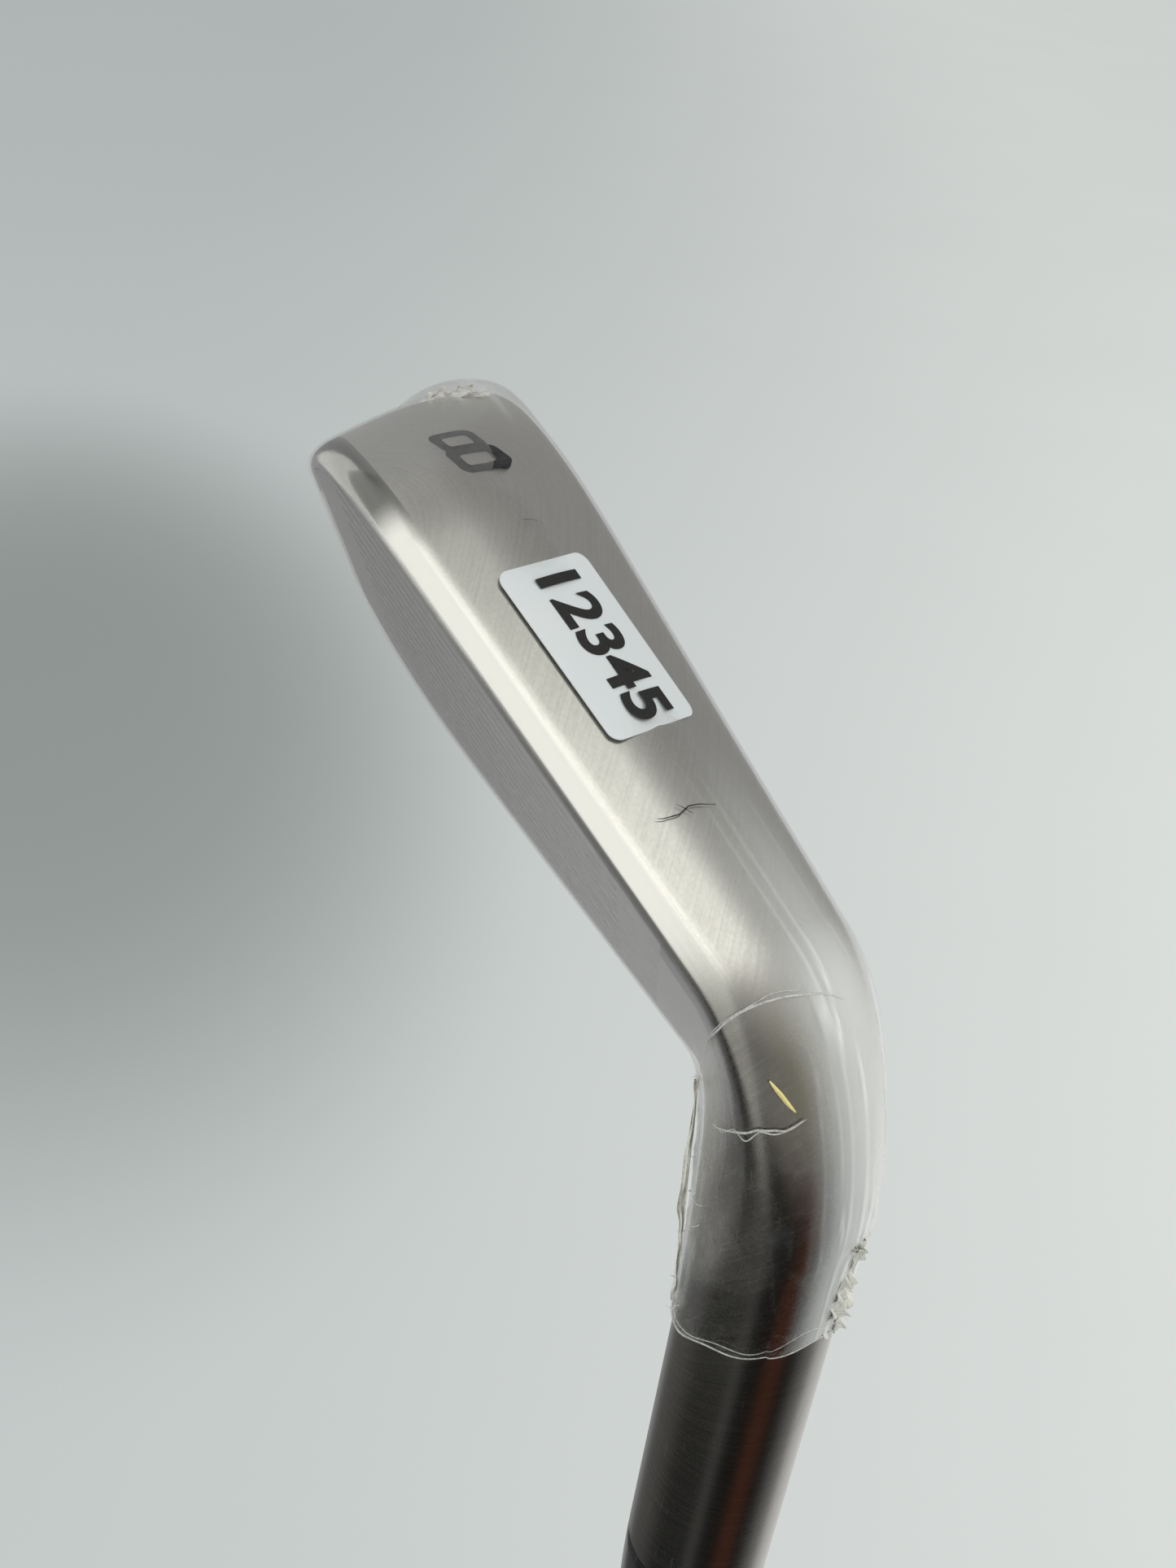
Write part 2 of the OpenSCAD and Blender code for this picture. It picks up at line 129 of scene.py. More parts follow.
def low_t(x):
    """Height of the leading edge up the face, level and then a superellipse up to the toe."""
    return TOE_T * (1 - bend((x - CORNER_X) / (TOE_X - CORNER_X)))


def address(p):
    """(height up the face, depth behind it) turned into the address frame's (y, z)."""
    t, d = p[..., 0], p[..., 1]
    return np.stack([LEAD_Y + t * math.sin(LOFT) + d * math.cos(LOFT),
                     LEAD_Z + t * math.cos(LOFT) - d * math.sin(LOFT)], -1)


def corners(x, high, knee):
    """Six corners of the section at x: leading edge, brow, top back, waist, trailing edge and sole."""
    low = low_t(x)
    up = ramp(0, TOE_T, low)
    inset = TOE_ROUND * (1 - np.sqrt(1 - np.clip((x - TOE_X + TOE_ROUND) / TOE_ROUND, 0, 1) ** 2))
    width = lerp(SOLE_W + SOLE_TAPER * (x - 38), TOE_BAND, up) - 2 * inset
    tilt = lerp(LOFT + math.radians(7.5), math.radians(4), up)
    lead = np.stack([low, inset], -1)
    rear = lead + width[:, None] * np.stack([np.sin(tilt), np.cos(tilt)], -1)
    bulge = lerp(CAMBER, 2, up) * np.minimum(1, width / TOE_BAND)
    sole = (lead + rear) / 2 + bulge[:, None] * np.stack([-np.cos(tilt), np.sin(tilt)], -1)
    brow = np.stack([high, inset], -1)
    back = np.stack([high, np.full_like(high, TOP_THICK)], -1)
    waist = np.stack([lerp(rear[:, 0], back[:, 0], WAIST_UP), lerp(back[:, 1], rear[:, 1], knee)], -1)
    return np.stack([lead, brow, back, waist, rear, sole], 1)


def cuts(c):
    """How far each corner's rounding reaches along its two sides."""
    behind = np.linalg.norm(np.roll(c, 1, 1) - c, axis=-1)
    ahead = np.linalg.norm(np.roll(c, -1, 1) - c, axis=-1)
    return np.minimum(CORNER_CUT, 0.46 * np.minimum(behind, ahead))


def rounded(c, fine):
    """The section's ring: a quadratic curve at each corner and a straight run on to the next one."""
    reach = cuts(c)[..., None]
    start = c + reach * unit(np.roll(c, 1, 1) - c)
    end = c + reach * unit(np.roll(c, -1, 1) - c)
    after = np.roll(start, -1, 1)
    parts = []
    for i in range(6):
        u = (np.arange(CORNER_STEPS[i] * fine) / (CORNER_STEPS[i] * fine))[:, None]
        v = (np.arange(LINE_STEPS[i] * fine) / (LINE_STEPS[i] * fine))[:, None]
        a, b, here, on = start[:, i, None], end[:, i, None], c[:, i, None], after[:, i, None]
        parts += [(1 - u) ** 2 * a + 2 * u * (1 - u) * here + u * u * b, lerp(b, on, v)]
    return np.concatenate(parts, 1)


def grown(ring, by):
    """The ring moved outward by a distance that may vary from point to point."""
    d = unit(np.roll(ring, -1, 1) - np.roll(ring, 1, 1))
    return ring + np.asarray(by)[..., None] * np.stack([-d[..., 1], d[..., 0]], -1)


def ray(a):
    """Direction at an angle round from straight down, towards the heel."""
    a = np.asarray(a, float)
    return np.stack([-np.sin(a), -np.cos(a)], -1)


UP_AXIS = np.array([-math.cos(LIE), math.sin(LIE)])
HEEL_C = np.array([HEEL_X, HEEL_R])


def crotch(r):
    """Height up the hosel, and centre, of the crotch arc that meets both the hosel and the top line."""
    x = HEEL_X - 2
    top = np.array([x, address(np.array([float(top_t(x)), 0.0]))[1]])
    n = ray(-TOP_LEAN)
    t = ((top - r * n) @ n + (HOSEL_R + r) * (ray(LIE) @ n)) / (UP_AXIS @ n)
    return t, t * UP_AXIS - (HOSEL_R + r) * ray(LIE)


def on_hosel(t, side):
    """Points at heights t on the hosel's outline: side is 1 towards the crotch and -1 towards the heel."""
    return t[:, None] * UP_AXIS - side * HOSEL_R * ray(LIE)


def fan_rings(w, r, knee, grow, fine):
    """Rings round the heel for w from 0 to 1, and up the hosel from 1 to 2 and past it, where the blade's
    section turns into an ellipse. Each is as tall as its spine, from the heel's arc to the crotch's."""
    crotch_at, crotch_c = crotch(r)
    foot_at = (HEEL_C + HEEL_R * ray(LIE)) @ UP_AXIS
    turn, rise, past = np.minimum(w, 1), np.clip(w - 1, 0, 1), np.maximum(w - 2, 0) * HOSEL_RUN
    foot = HEEL_C + HEEL_R * ray(LIE * turn)
    top = crotch_c + r * ray(lerp(-TOP_LEAN, LIE, turn))
    straight = (w > 1)[:, None]
    s0 = np.where(straight, on_hosel(lerp(foot_at, LOFT_END, rise) + past, -1), foot)
    s1 = np.where(straight, on_hosel(lerp(crotch_at, LOFT_END, rise) + past, 1), top)
    tall = np.linalg.norm(s1 - s0, axis=-1)
    way = unit(s1 - s0)
    x = np.full_like(w, HEEL_X)
    flat = address(rounded(corners(x, (tall - LEAD_Z) / math.cos(LOFT), knee), fine))
    a = RING_START + 2 * math.pi * np.arange(flat.shape[1]) / flat.shape[1]
    oval = np.stack([np.broadcast_to(AXIS_Y - HOSEL_R * np.sin(a), flat.shape[:2]),
                     tall[:, None] / 2 * (1 - np.cos(a))], -1)
    p = grown(lerp(flat, oval, ramp(-0.05, 0.95, w)[:, None, None]), grow)
    along = s0[:, None] + way[:, None] * p[..., 1:]
    return np.stack([along[..., 0], p[..., 0], along[..., 1]], -1)


def blade_rings(k, r, knee, grow, fine):
    """Rings across the blade, k = 0 at the heel and 1 at the toe, closer together towards the toe."""
    x = HEEL_X + (TOE_X - HEEL_X) * np.sin(k * math.pi / 2)
    edge_x = (crotch(r)[1] + r * ray(-TOP_LEAN))[0]
    lean = (HEEL_X - edge_x) * (1 - ramp(HEEL_X, HEEL_X + 24, x))
    high = top_t(x - lean)
    tall = address(np.stack([high, np.zeros_like(high)], -1))[:, 1]
    p = grown(address(rounded(corners(x, high, knee), fine)), grow)
    out = np.broadcast_to(grow, p.shape[:2]) * ramp(0.5, 1, k)[:, None]
    return np.stack([(x[:, None] - (lean / tall)[:, None] * p[..., 1] + out), p[..., 0], p[..., 1]], -1)


def head_rings(fans, blades, r, knee, grow, fine):
    """All the rings from the hosel to the toe; grow is a number or one value for each ring point."""
    count = len(fans)
    grow = np.broadcast_to(grow, (count + len(blades), 48 * fine))
    return np.concatenate([fan_rings(fans, r, knee, grow[:count], fine),
                           blade_rings(blades, r, knee, grow[count:], fine)])


def sole_z(x, y):
    """Height of the sole at x, y: the sole's quadratic curve solved for its parameter."""
    c = corners(x, top_t(x), CAVITY_KNEE)
    reach = cuts(c)[:, 5, None]
    here = address(c[:, 5])
    a = address(c[:, 5] + reach * unit(c[:, 4] - c[:, 5]))
    b = address(c[:, 5] + reach * unit(c[:, 0] - c[:, 5]))
    p, q, rest = a - 2 * here + b, 2 * (here - a), a[:, 0] - y
    u = 2 * rest / (np.sqrt(q[:, 0] ** 2 - 4 * p[:, 0] * rest) - q[:, 0])
    return a[:, 1] + u * q[:, 1] + u * u * p[:, 1]


def to_row(p):
    """Address frame in millimetres to row frame in metres."""
    turn = 1.5 * math.pi - LIE
    x, y, z = p[..., 0], p[..., 1], p[..., 2]
    return np.stack([x * math.cos(turn) + z * math.sin(turn), y - AXIS_Y,
                     GROUND - x * math.sin(turn) + z * math.cos(turn)], -1) * MM


# ---- meshes ----
def add_mesh(name, points, faces, uv=None):
    """A mesh from points and a list of face arrays, each (count, corners); uv has one row per face corner."""
    mesh = bpy.data.meshes.new(name)
    sizes = np.concatenate([np.full(len(f), f.shape[1]) for f in faces])
    loops = np.concatenate([f.ravel() for f in faces]).astype(np.int32)
    mesh.vertices.add(len(points))
    mesh.vertices.foreach_set("co", np.asarray(points, np.float32).ravel())
    mesh.loops.add(len(loops))
    mesh.loops.foreach_set("vertex_index", loops)
    mesh.polygons.add(len(sizes))
    mesh.polygons.foreach_set("loop_start", np.concatenate([[0], np.cumsum(sizes)[:-1]]).astype(np.int32))
    mesh.update(calc_edges=True)
    if uv is not None:
        mesh.uv_layers.new(name="lay").data.foreach_set("uv", np.asarray(uv, np.float32).ravel())
    mesh.shade_smooth()
    piece = bpy.data.objects.new(name, mesh)
    bpy.context.scene.collection.objects.link(piece)
    return piece


def volume(points, faces):
    """Signed volume inside a closed mesh, by fans of triangles."""
    total = 0
    for f in faces:
        for k in range(1, f.shape[1] - 1):
            a, b, c = points[f[:, 0]], points[f[:, k]], points[f[:, k + 1]]
            total += (a * np.cross(b, c)).sum() / 6
    return total


def skin(name, rings, ends=True, loop=False):
    """Surface over a grid of closed rings (ring, point, xyz), its two end rings filled if ends, or joined to
    each other if loop. Its UV is the distance along and round, in millimetres."""
    count, size = rings.shape[:2]
    points = rings.reshape(-1, 3)
    i = np.arange(count if loop else count - 1)[:, None]
    j = np.arange(size)[None]
    ii, jj = (i + 1) % count, (j + 1) % size
    quads = np.stack([i * size + j, i * size + jj, ii * size + jj, ii * size + j], -1).reshape(-1, 4)
    step = np.linalg.norm(np.diff(rings, axis=0, append=rings[:1]), axis=-1).mean(1) / MM
    along = np.concatenate([[0], np.cumsum(step)])
    gap = np.linalg.norm(np.roll(rings, -1, 1) - rings, axis=-1) / MM
    about = np.concatenate([np.zeros((count, 1)), np.cumsum(gap, 1)], 1)
    corner = [(i, j), (i, j + 1), (i + 1, j + 1), (i + 1, j)]
    uv = np.stack([np.stack(np.broadcast_arrays(along[a], about[a % count, b]), -1) for a, b in corner], -2)
    faces, loops = [quads], [uv.reshape(-1, 2)]
    if ends:
        first, last = np.arange(size)[::-1], np.arange(size) + (count - 1) * size
        faces += [first[None], last[None]]
        loops += [np.stack([np.zeros(size), about[0, first]], -1),
                  np.stack([np.full(size, along[count - 1]), about[-1, :size]], -1)]
    if (ends or loop) and volume(points, faces) < 0:
        faces = [f[:, ::-1] for f in faces]
        sizes = [f.shape for f in faces]
        loops = [u.reshape(shape + (2,))[:, ::-1].reshape(-1, 2) for u, shape in zip(loops, sizes)]
    return add_mesh(name, points, faces, np.concatenate(loops))


def turned(name, outline, steps=96, shape=None):
    """A closed outline of (radius, height) in millimetres turned round the shaft axis. shape, if given, takes
    arrays of angle, radius and height and returns the radius with relief added."""
    outline = np.asarray(outline, float)
    a = 2 * math.pi * np.arange(steps) / steps
    r = np.broadcast_to(outline[:, :1], (len(outline), steps))
    z = np.broadcast_to(outline[:, 1:], (len(outline), steps))
    if shape:
        r = shape(a[None], r, z)
    return skin(name, np.stack([r * np.cos(a), r * np.sin(a), z], -1) * MM, ends=False, loop=True)


def prism(name, outline, low, high, place):
    """A closed outline (x, y) raised from low to high and carried to the row frame by place."""
    rings = [place(np.concatenate([outline, np.full((len(outline), 1), h)], 1)) for h in (low, high)]
    return skin(name, np.stack(rings))


def combine(piece, operation, *others):
    """Applies one boolean operation with each of the others in turn and keeps the result as the mesh."""
    for other in others:
        change = piece.modifiers.new("change", "BOOLEAN")
        change.operation, change.solver, change.object = operation, "EXACT", other
        graph = bpy.context.evaluated_depsgraph_get()
        changed = bpy.data.meshes.new_from_object(piece.evaluated_get(graph))
        piece.modifiers.clear()
        piece.data = changed
        bpy.data.objects.remove(other)


def crisp(piece, degrees):
    """Smooth shading with sharp edges where faces meet at more than the angle."""
    piece.data.shade_smooth()
    piece.data.set_sharp_from_angle(angle=math.radians(degrees))


def lattice_noise(u, v, seed):
    """Smooth noise from 0 to 1: random values on a whole-number lattice, blended with a smooth step."""
    values = np.random.default_rng(seed).random((64, 64))
    iu, iv = np.floor(u).astype(int), np.floor(v).astype(int)
    fu, fv = u - iu, v - iv
    fu, fv = fu * fu * (3 - 2 * fu), fv * fv * (3 - 2 * fv)
    at = [[values[(iu + a) % 64, (iv + b) % 64] for b in (0, 1)] for a in (0, 1)]
    return lerp(lerp(at[0][0], at[0][1], fv), lerp(at[1][0], at[1][1], fv), fu)


def ridge(u, v, seed):
    """Thin crease lines, 1 where the noise crosses its middle and falling off to both sides."""
    return np.clip(1 - np.abs(lattice_noise(u, v, seed) - 0.5) * 9, 0, 1) ** 2


# ---- shader maths ----
class Wire:
    """A node's output. Arithmetic on it adds Math nodes to its finish."""

    def __init__(self, finish, socket):
        self.finish, self.socket = finish, socket

    def math(self, operation, *values, clamp=False):
        settings = {"operation": operation, "use_clamp": clamp}
        return self.finish.node("ShaderNodeMath", settings, dict(enumerate(values)))

    def __add__(self, other):
        return self.math("ADD", self, other)

    def __radd__(self, other):
        return self.math("ADD", other, self)

    def __sub__(self, other):
        return self.math("SUBTRACT", self, other)

    def __rsub__(self, other):
        return self.math("SUBTRACT", other, self)

    def __mul__(self, other):
        return self.math("MULTIPLY", self, other)

    def __rmul__(self, other):
        return self.math("MULTIPLY", other, self)

    def __truediv__(self, other):
        return self.math("DIVIDE", self, other)

    def __rtruediv__(self, other):
        return self.math("DIVIDE", other, self)

    def __pow__(self, other):
        return self.math("POWER", self, other)

    def most(self, other):
        return self.math("MAXIMUM", self, other)

    def least(self, other):
        return self.math("MINIMUM", self, other)

    def sine(self):
        return self.math("SINE", self)

    def clamped(self):
        return self.math("ADD", self, 0, clamp=True)

    def rise(self, low, high, start=0, end=1):
        """Smooth step from start, where the value is low, to end, where it is high."""
        return self.finish.node("ShaderNodeMapRange", {"interpolation_type": "SMOOTHSTEP"}, {
            "Value": self, "From Min": low, "From Max": high, "To Min": start, "To Max": end})

    def band(self, low, high, soft):
        """1 between low and high, with soft edges."""
        return self.rise(low - soft, low + soft) * self.rise(high - soft, high + soft, 1, 0)


class Finish:
    """One material being built, with a method for any node and short names for those used most."""

    def __init__(self, name, tree_of=None):
        self.data = tree_of or bpy.data.materials.new(name)
        self.data.use_nodes = True
        self.tree = self.data.node_tree
        self.tree.nodes.clear()

    def node(self, kind, settings=None, values=None, out=0):
        """Adds a node: settings first, such as an operation, then its sockets' values or links."""
        made = self.tree.nodes.new(kind)
        for key, value in (settings or {}).items():
            setattr(made, key, value)
        for key, value in (values or {}).items():
            if isinstance(value, Wire):
                self.tree.links.new(value.socket, made.inputs[key])
            else:
                made.inputs[key].default_value = value
        return Wire(self, made.outputs[out] if made.outputs else None)

    def place(self, scale=(1, 1, 1), turn=(0, 0, 0), source="Object"):
        """Object coordinates, or the piece's UV in millimetres, scaled and turned."""
        if source == "UV":
            coordinate = self.node("ShaderNodeUVMap", {"uv_map": "lay"})
        else:
            coordinate = self.node("ShaderNodeTexCoord", out=source)
        return self.node("ShaderNodeMapping", None, {"Vector": coordinate, "Scale": scale, "Rotation": turn})

    def split(self, vector):
        """The vector's x, y and z."""
        node = self.node("ShaderNodeSeparateXYZ", None, {0: vector}).socket.node
        return [Wire(self, node.outputs[i]) for i in range(3)]

    def toe_way(self):
        """Distance from the hosel's axis towards the toe, in millimetres."""
        x, _, z = self.split(self.place())
        turn = 1.5 * math.pi - LIE
        return (x * math.cos(turn) - (z - GROUND * MM) * math.sin(turn)) / MM

    def noise(self, vector, scale=1.0, detail=3.0, rough=0.5, warp=0.0):
        return self.node("ShaderNodeTexNoise", None, {
            "Vector": vector, "Scale": scale, "Detail": detail, "Roughness": rough, "Distortion": warp})

    def cells(self, vector, scale=1.0):
        """Distance to the nearest of a scatter of points."""
        return self.node("ShaderNodeTexVoronoi", None, {"Vector": vector, "Scale": scale}, "Distance")

    def mix(self, factor, a, b):
        """Colour a where the factor is 0 and b where it is 1."""
        return self.node("ShaderNodeMix", {"data_type": "RGBA"}, {0: factor, 6: a, 7: b}, out=2)

    def layers(self, base, *coats):
        """Colours laid over a base one after another: each coat is how much of it shows, and its colour."""
        for shown, colour in coats:
            base = self.mix(shown, base, colour)
        return base

    def bump(self, height, distance, strength=1.0):
        values = {"Height": height, "Distance": distance, "Strength": strength}
        return self.node("ShaderNodeBump", None, values)

    def surface(self, values):
        return self.node("ShaderNodeBsdfPrincipled", None, values)

    def coat(self, tone, rough, height, depth, strength, metal=0.0):
        """Ends the finish with one Principled shader, bumped by the height over a depth in metres."""
        normal = self.bump(height, depth, strength)
        values = {"Base Color": tone, "Metallic": metal, "Roughness": rough, "Normal": normal}
        return self.done(self.surface(values))

    def done(self, shader):
        self.node("ShaderNodeOutputMaterial", None, {"Surface": shader})
        return self.data


def grey(value, warm=0.0):
    """A near-neutral colour, warm or cool by a fraction."""
    return (value * (1 + warm), value, value * (1 - 1.6 * warm), 1)


def satin_steel():
    """Head: brushed along the sole and round the hosel, fine blasted specks, and a polished leading edge.
    The dark tones that go by position, on the hosel and heel, beside the leading edge and at the toe corner,
    stand in for reflections of things close to the club. The real metal is one colour."""
    f = Finish("satin_steel")
    _, v, _ = f.split(f.place(source="UV"))
    toe, back = f.toe_way(), f.split(f.place())[1] / MM
    hosel = (toe + back * 1.5 + 3).rise(-5, 5, 1, 0)
    polish = v.rise(3.6, 4.2, 1, 0) * v.rise(0, 1.8) * toe.rise(6, 16) * toe.rise(51, 54.5, 1, 0)
    # painted reflection: a dark band just past the polished leading edge, standing in for something close to
    # the club
    lead_edge_dark_reflection = v.band(4.1, 9.5, 0.3) * toe.rise(2, 6)
    corner = toe.rise(50, 54) * toe.rise(68, 69.5, 1, 0) * v.rise(6, 9, 1, 0) * v.rise(-1.6, 1.2)
    length_lines = f.noise(f.place((0.07, 2.6, 1), source="UV"), 1, 5, 0.65)
    round_lines = f.noise(f.place((3.0, 0.1, 1), (0, 0, 0.13), source="UV"), 1, 5, 0.7)
    lines = length_lines * (1 - hosel) + round_lines * hosel
    specks = f.noise(f.place(), 2900, 2, 0.7)
    clouds = f.noise(f.place(), 60, 3, 0.5)
    scuffs = f.noise(f.place((0.35, 5, 1), (0, 0, 0.55), source="UV"), 0.55, 1, 0.4).rise(0.70, 0.76)
    satin = (1 - polish).clamped()
    rough = 0.21 + lines * 0.08 + clouds * 0.04 + specks * 0.05 - hosel * 0.03
    rough = rough * satin + (0.17 + clouds * 0.05) * polish + scuffs * 0.06
    # painted reflection: an olive tint where the heel runs into the hosel
    heel_olive_reflection = (toe + back * 0.6).band(-9, 2, 4) * back.band(-4, 5, 3)
    tone = f.layers(
        f.mix(clouds, (0.74, 0.735, 0.70, 1), (0.68, 0.677, 0.645, 1)),
        (hosel * 0.95, (0.165, 0.16, 0.147, 1)),
        (heel_olive_reflection * 0.55, (0.40, 0.37, 0.24, 1)),
        (lines.rise(0.35, 0.7) * satin * (0.2 + hosel * 0.1), (0.33, 0.325, 0.305, 1)),
        (specks.rise(0.3, 0.75) * (satin - hosel).clamped() * 0.2, (0.38, 0.375, 0.36, 1)),
        (polish, (0.78, 0.775, 0.75, 1)),
        # painted reflections: the dark band beside the leading edge and the dark toe corner
        ((lead_edge_dark_reflection * 0.85).most(corner * 0.85), (0.075, 0.08, 0.077, 1)))
    height = (lines * 0.8 + specks * 0.5) * satin + scuffs * 0.4
    return f.coat(tone, rough, height, 0.00001, 0.6, metal=1.0)


def blasted_face():
    """Face plate: matte blasted steel with fine mill lines along the score lines. It darkens towards the
    toe in place of a close reflection."""
    f = Finish("blasted_face")
    turn = (0, 1.5 * math.pi - LIE, 0)
    grain = f.noise(f.place(), 4200, 3, 0.7)
    mill = f.noise(f.place((110, 1500, 1500), turn), 1, 4, 0.6)
    clouds = f.noise(f.place(), 90, 3, 0.5)
    tone = f.layers(f.mix(clouds, grey(0.56), grey(0.50)),
                    (f.toe_way().rise(8, 60) * 0.85, grey(0.13)),
                    (mill.rise(0.4, 0.65) * 0.35, grey(0.2)))
    return f.coat(tone, 0.5 + grain * 0.14, grain * 0.6 + mill * 0.6, 0.000005, 0.3, metal=0.85)


def charcoal_paint():
    """Paint in the sunk digit: satin, thinner and greyer in patches, with a few bright pinholes."""
    f = Finish("charcoal_paint")
    wear = f.noise(f.place(), 1100, 4, 0.7)
    pin = f.cells(f.place(), 2600).rise(0.08, 0.16, 1, 0) * wear.rise(0.5, 0.62)
    tone = f.mix(wear.rise(0.35, 0.75), (0.005, 0.006, 0.006, 1), (0.018, 0.021, 0.021, 1))
    tone = f.mix(pin, tone, grey(0.3))
    return f.coat(tone, 0.33 + wear * 0.25, wear, 0.00002, 0.6)


def turned_metal(name, colour, rough):
    """Lathe-turned metal: fine rings round the row axis with a little tarnish."""
    f = Finish(name)
    x, y, z = f.split(f.place())
    rings = (z * 30000).sine() * 0.5 + (((x * x + y * y) ** 0.5) * 24000).sine() * 0.5
    tarnish = f.noise(f.place(), 400, 4, 0.6)
    tone = f.mix(tarnish.rise(0.4, 0.8) * 0.5, colour, tuple(c * 0.55 for c in colour[:3]) + (1,))
    return f.coat(tone, rough + tarnish * 0.2, rings, 0.000006, 0.5, metal=1.0)


def foam_tape():
    """Closed-cell foam: tiny open cells at the cut edge."""
    f = Finish("foam_tape")
    cell = f.cells(f.place(), 2800)
    tone = f.mix(cell, grey(0.012), grey(0.04))
    return f.coat(tone, 0.92, cell, 0.00008, 0.8)


def badge_plate():
    """Cavity badge: dark metallised plastic, fine diagonal hatch, brighter on its raised ribs."""
    f = Finish("badge_plate")
    turn = (0, 1.5 * math.pi - LIE, 0)
    x, _, z = f.split(f.place(turn=turn))
    hatch = ((x + z) * 9000).sine() * 0.5 + 0.5
    hair = f.noise(f.place((400, 9000, 9000), turn), 1, 3, 0.6)
    dust = f.noise(f.place(), 900, 5, 0.7)
    tone = f.mix(hatch, grey(0.035, -0.06), grey(0.075, -0.06))
    tone = f.mix(hair * 0.5, tone, grey(0.14, -0.05))
    return f.coat(tone, 0.26 + dust * 0.22, hatch * 0.5 + hair * 0.3, 0.00002, 0.6, metal=0.6)


def cured_epoxy():
    """Glue sleeve: amber and cloudy with trapped bubbles."""
    f = Finish("cured_epoxy")
    bubble = f.cells(f.place(), 1500).rise(0.1, 0.3, 1, 0)
    cloud = f.noise(f.place(), 500, 3, 0.5)
    tone = f.mix(cloud, (0.45, 0.33, 0.1, 1), (0.62, 0.52, 0.24, 1))
    return f.coat(tone, 0.22 + cloud * 0.2, bubble, 0.00006, 0.5)


def plated_shaft():
    """Plated steel tube: near-mirror, with drawn lines along it, small dull spots and handling haze."""
    f = Finish("plated_shaft")
    drawn = f.noise(f.place((2600, 2600, 14)), 1, 4, 0.6)
    haze = f.noise(f.place((1, 1, 0.35)), 160, 4, 0.6)
    spots = f.cells(f.place(), 900).rise(0.05, 0.09, 1, 0) * haze.rise(0.55, 0.7)
    tone = f.mix(haze, grey(0.74, 0.004), grey(0.68, 0.01))
    tone = f.mix(spots * 0.5, tone, grey(0.4))
    rough = 0.07 + drawn * 0.05 + haze.rise(0.5, 0.8) * 0.12 + spots * 0.1
    return f.coat(tone, rough, drawn, 0.000004, 0.5, metal=1.0)


def gloss_collar():
    """Ferrule: black celluloid, solvent-wiped to a wet gloss with faint turning rings and lint."""
    f = Finish("gloss_collar")
    _, _, z = f.split(f.place())
    rings = (z * 21000).sine()
    swirl = f.noise(f.place((1, 1, 6)), 700, 3, 0.6)
    lint = f.noise(f.place((1, 1, 0.2)), 2600, 1, 0.4).rise(0.72, 0.76)
    tone = f.mix(lint * 0.4, grey(0.008), grey(0.12))
    return f.coat(tone, 0.08 + swirl * 0.12, rings * 0.3 + swirl, 0.000012, 0.4)


def printed_band():
    """Shaft band: dark satin foil with two plain silver pinstripes near each end."""
    f = Finish("printed_band")
    low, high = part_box("shaft_band")
    _, _, z = f.split(f.place())
    end = (z - low.z).least(high.z - z)
    stripes = end.band(0.0022, 0.0030, 0.0001) + end.band(0.0042, 0.0046, 0.0001)
    fibre = f.noise(f.place((1, 1, 0.3)), 1800, 4, 0.7)
    tone = f.mix(fibre, (0.022, 0.027, 0.036, 1), (0.034, 0.041, 0.052, 1))
    tone = f.mix(stripes.clamped(), tone, grey(0.6))
    return f.coat(tone, 0.3 + fibre * 0.12, fibre, 0.000015, 0.5, metal=stripes.clamped())


def paper_tape():
    """Tape wound round the butt: crêped paper with the spiral's lap lines."""
    f = Finish("paper_tape")
    _, _, z = f.split(f.place())
    crepe = f.noise(f.place((1, 1, 9)), 400, 5, 0.7)
    lap = (z * 250).sine().rise(0.96, 1)
    tone = f.mix(crepe, (0.62, 0.57, 0.44, 1), (0.74, 0.70, 0.58, 1))
    tone = f.mix(lap, tone, (0.4, 0.36, 0.27, 1))
    return f.coat(tone, 0.85, crepe, 0.0001, 0.6)


def moulded_rubber(name, value, rough):
    """Black rubber: pebbled mould texture, a dusty bloom and polished wear spots."""
    f = Finish(name)
    pebble = f.cells(f.place(), 2400)
    fine = f.noise(f.place(), 5200, 3, 0.7)
    bloom = f.noise(f.place((1, 1, 0.6)), 70, 5, 0.65)
    wear = f.noise(f.place((1, 1, 0.5)), 28, 2, 0.5).rise(0.5, 0.7)
    tone = f.mix(bloom.rise(0.45, 0.8), grey(value, 0.01), grey(value * 2.4, 0.015))
    tone = f.mix(fine * 0.3, tone, grey(value * 0.6))
    return f.coat(tone, rough + bloom * 0.18 - wear * 0.14, pebble * 0.6 + fine * 0.5, 0.00006, 0.7)


def clear_film():
    """Shrink film: clear, glossy where it turns away, and milky along its creases."""
    f = Finish("clear_film")
    haze = f.node("ShaderNodeAttribute", {"attribute_name": "haze"}, out="Fac")
    wave = f.noise(f.place((0.16, 0.42, 1), source="UV"), 1, 2, 0.5, 0.6)
    fine = f.noise(f.place((0.5, 2.2, 1), (0, 0, 0.4), source="UV"), 1, 3, 0.6, 1.0)
    normal = f.bump(wave * 0.8 + fine * 0.25, 0.00022, 0.5)
    edge = f.node("ShaderNodeLayerWeight", None, {"Blend": 0.16, "Normal": normal}, out="Fresnel")
    gloss = f.node("ShaderNodeBsdfGlossy", None, {"Color": (1, 1, 1, 1), "Roughness": 0.05, "Normal": normal})
    milk = f.surface({"Base Color": (0.84, 0.84, 0.82, 1), "Roughness": 0.2, "Normal": normal})
    clear = f.node("ShaderNodeBsdfTransparent", None, {"Color": (0.99, 0.99, 0.99, 1)})
    sheet = f.node("ShaderNodeMixShader", None, {0: (edge * 0.3).clamped(), 1: clear, 2: gloss})
    return f.done(f.node("ShaderNodeMixShader", None, {0: (haze * 0.6).clamped(), 1: sheet, 2: milk}))


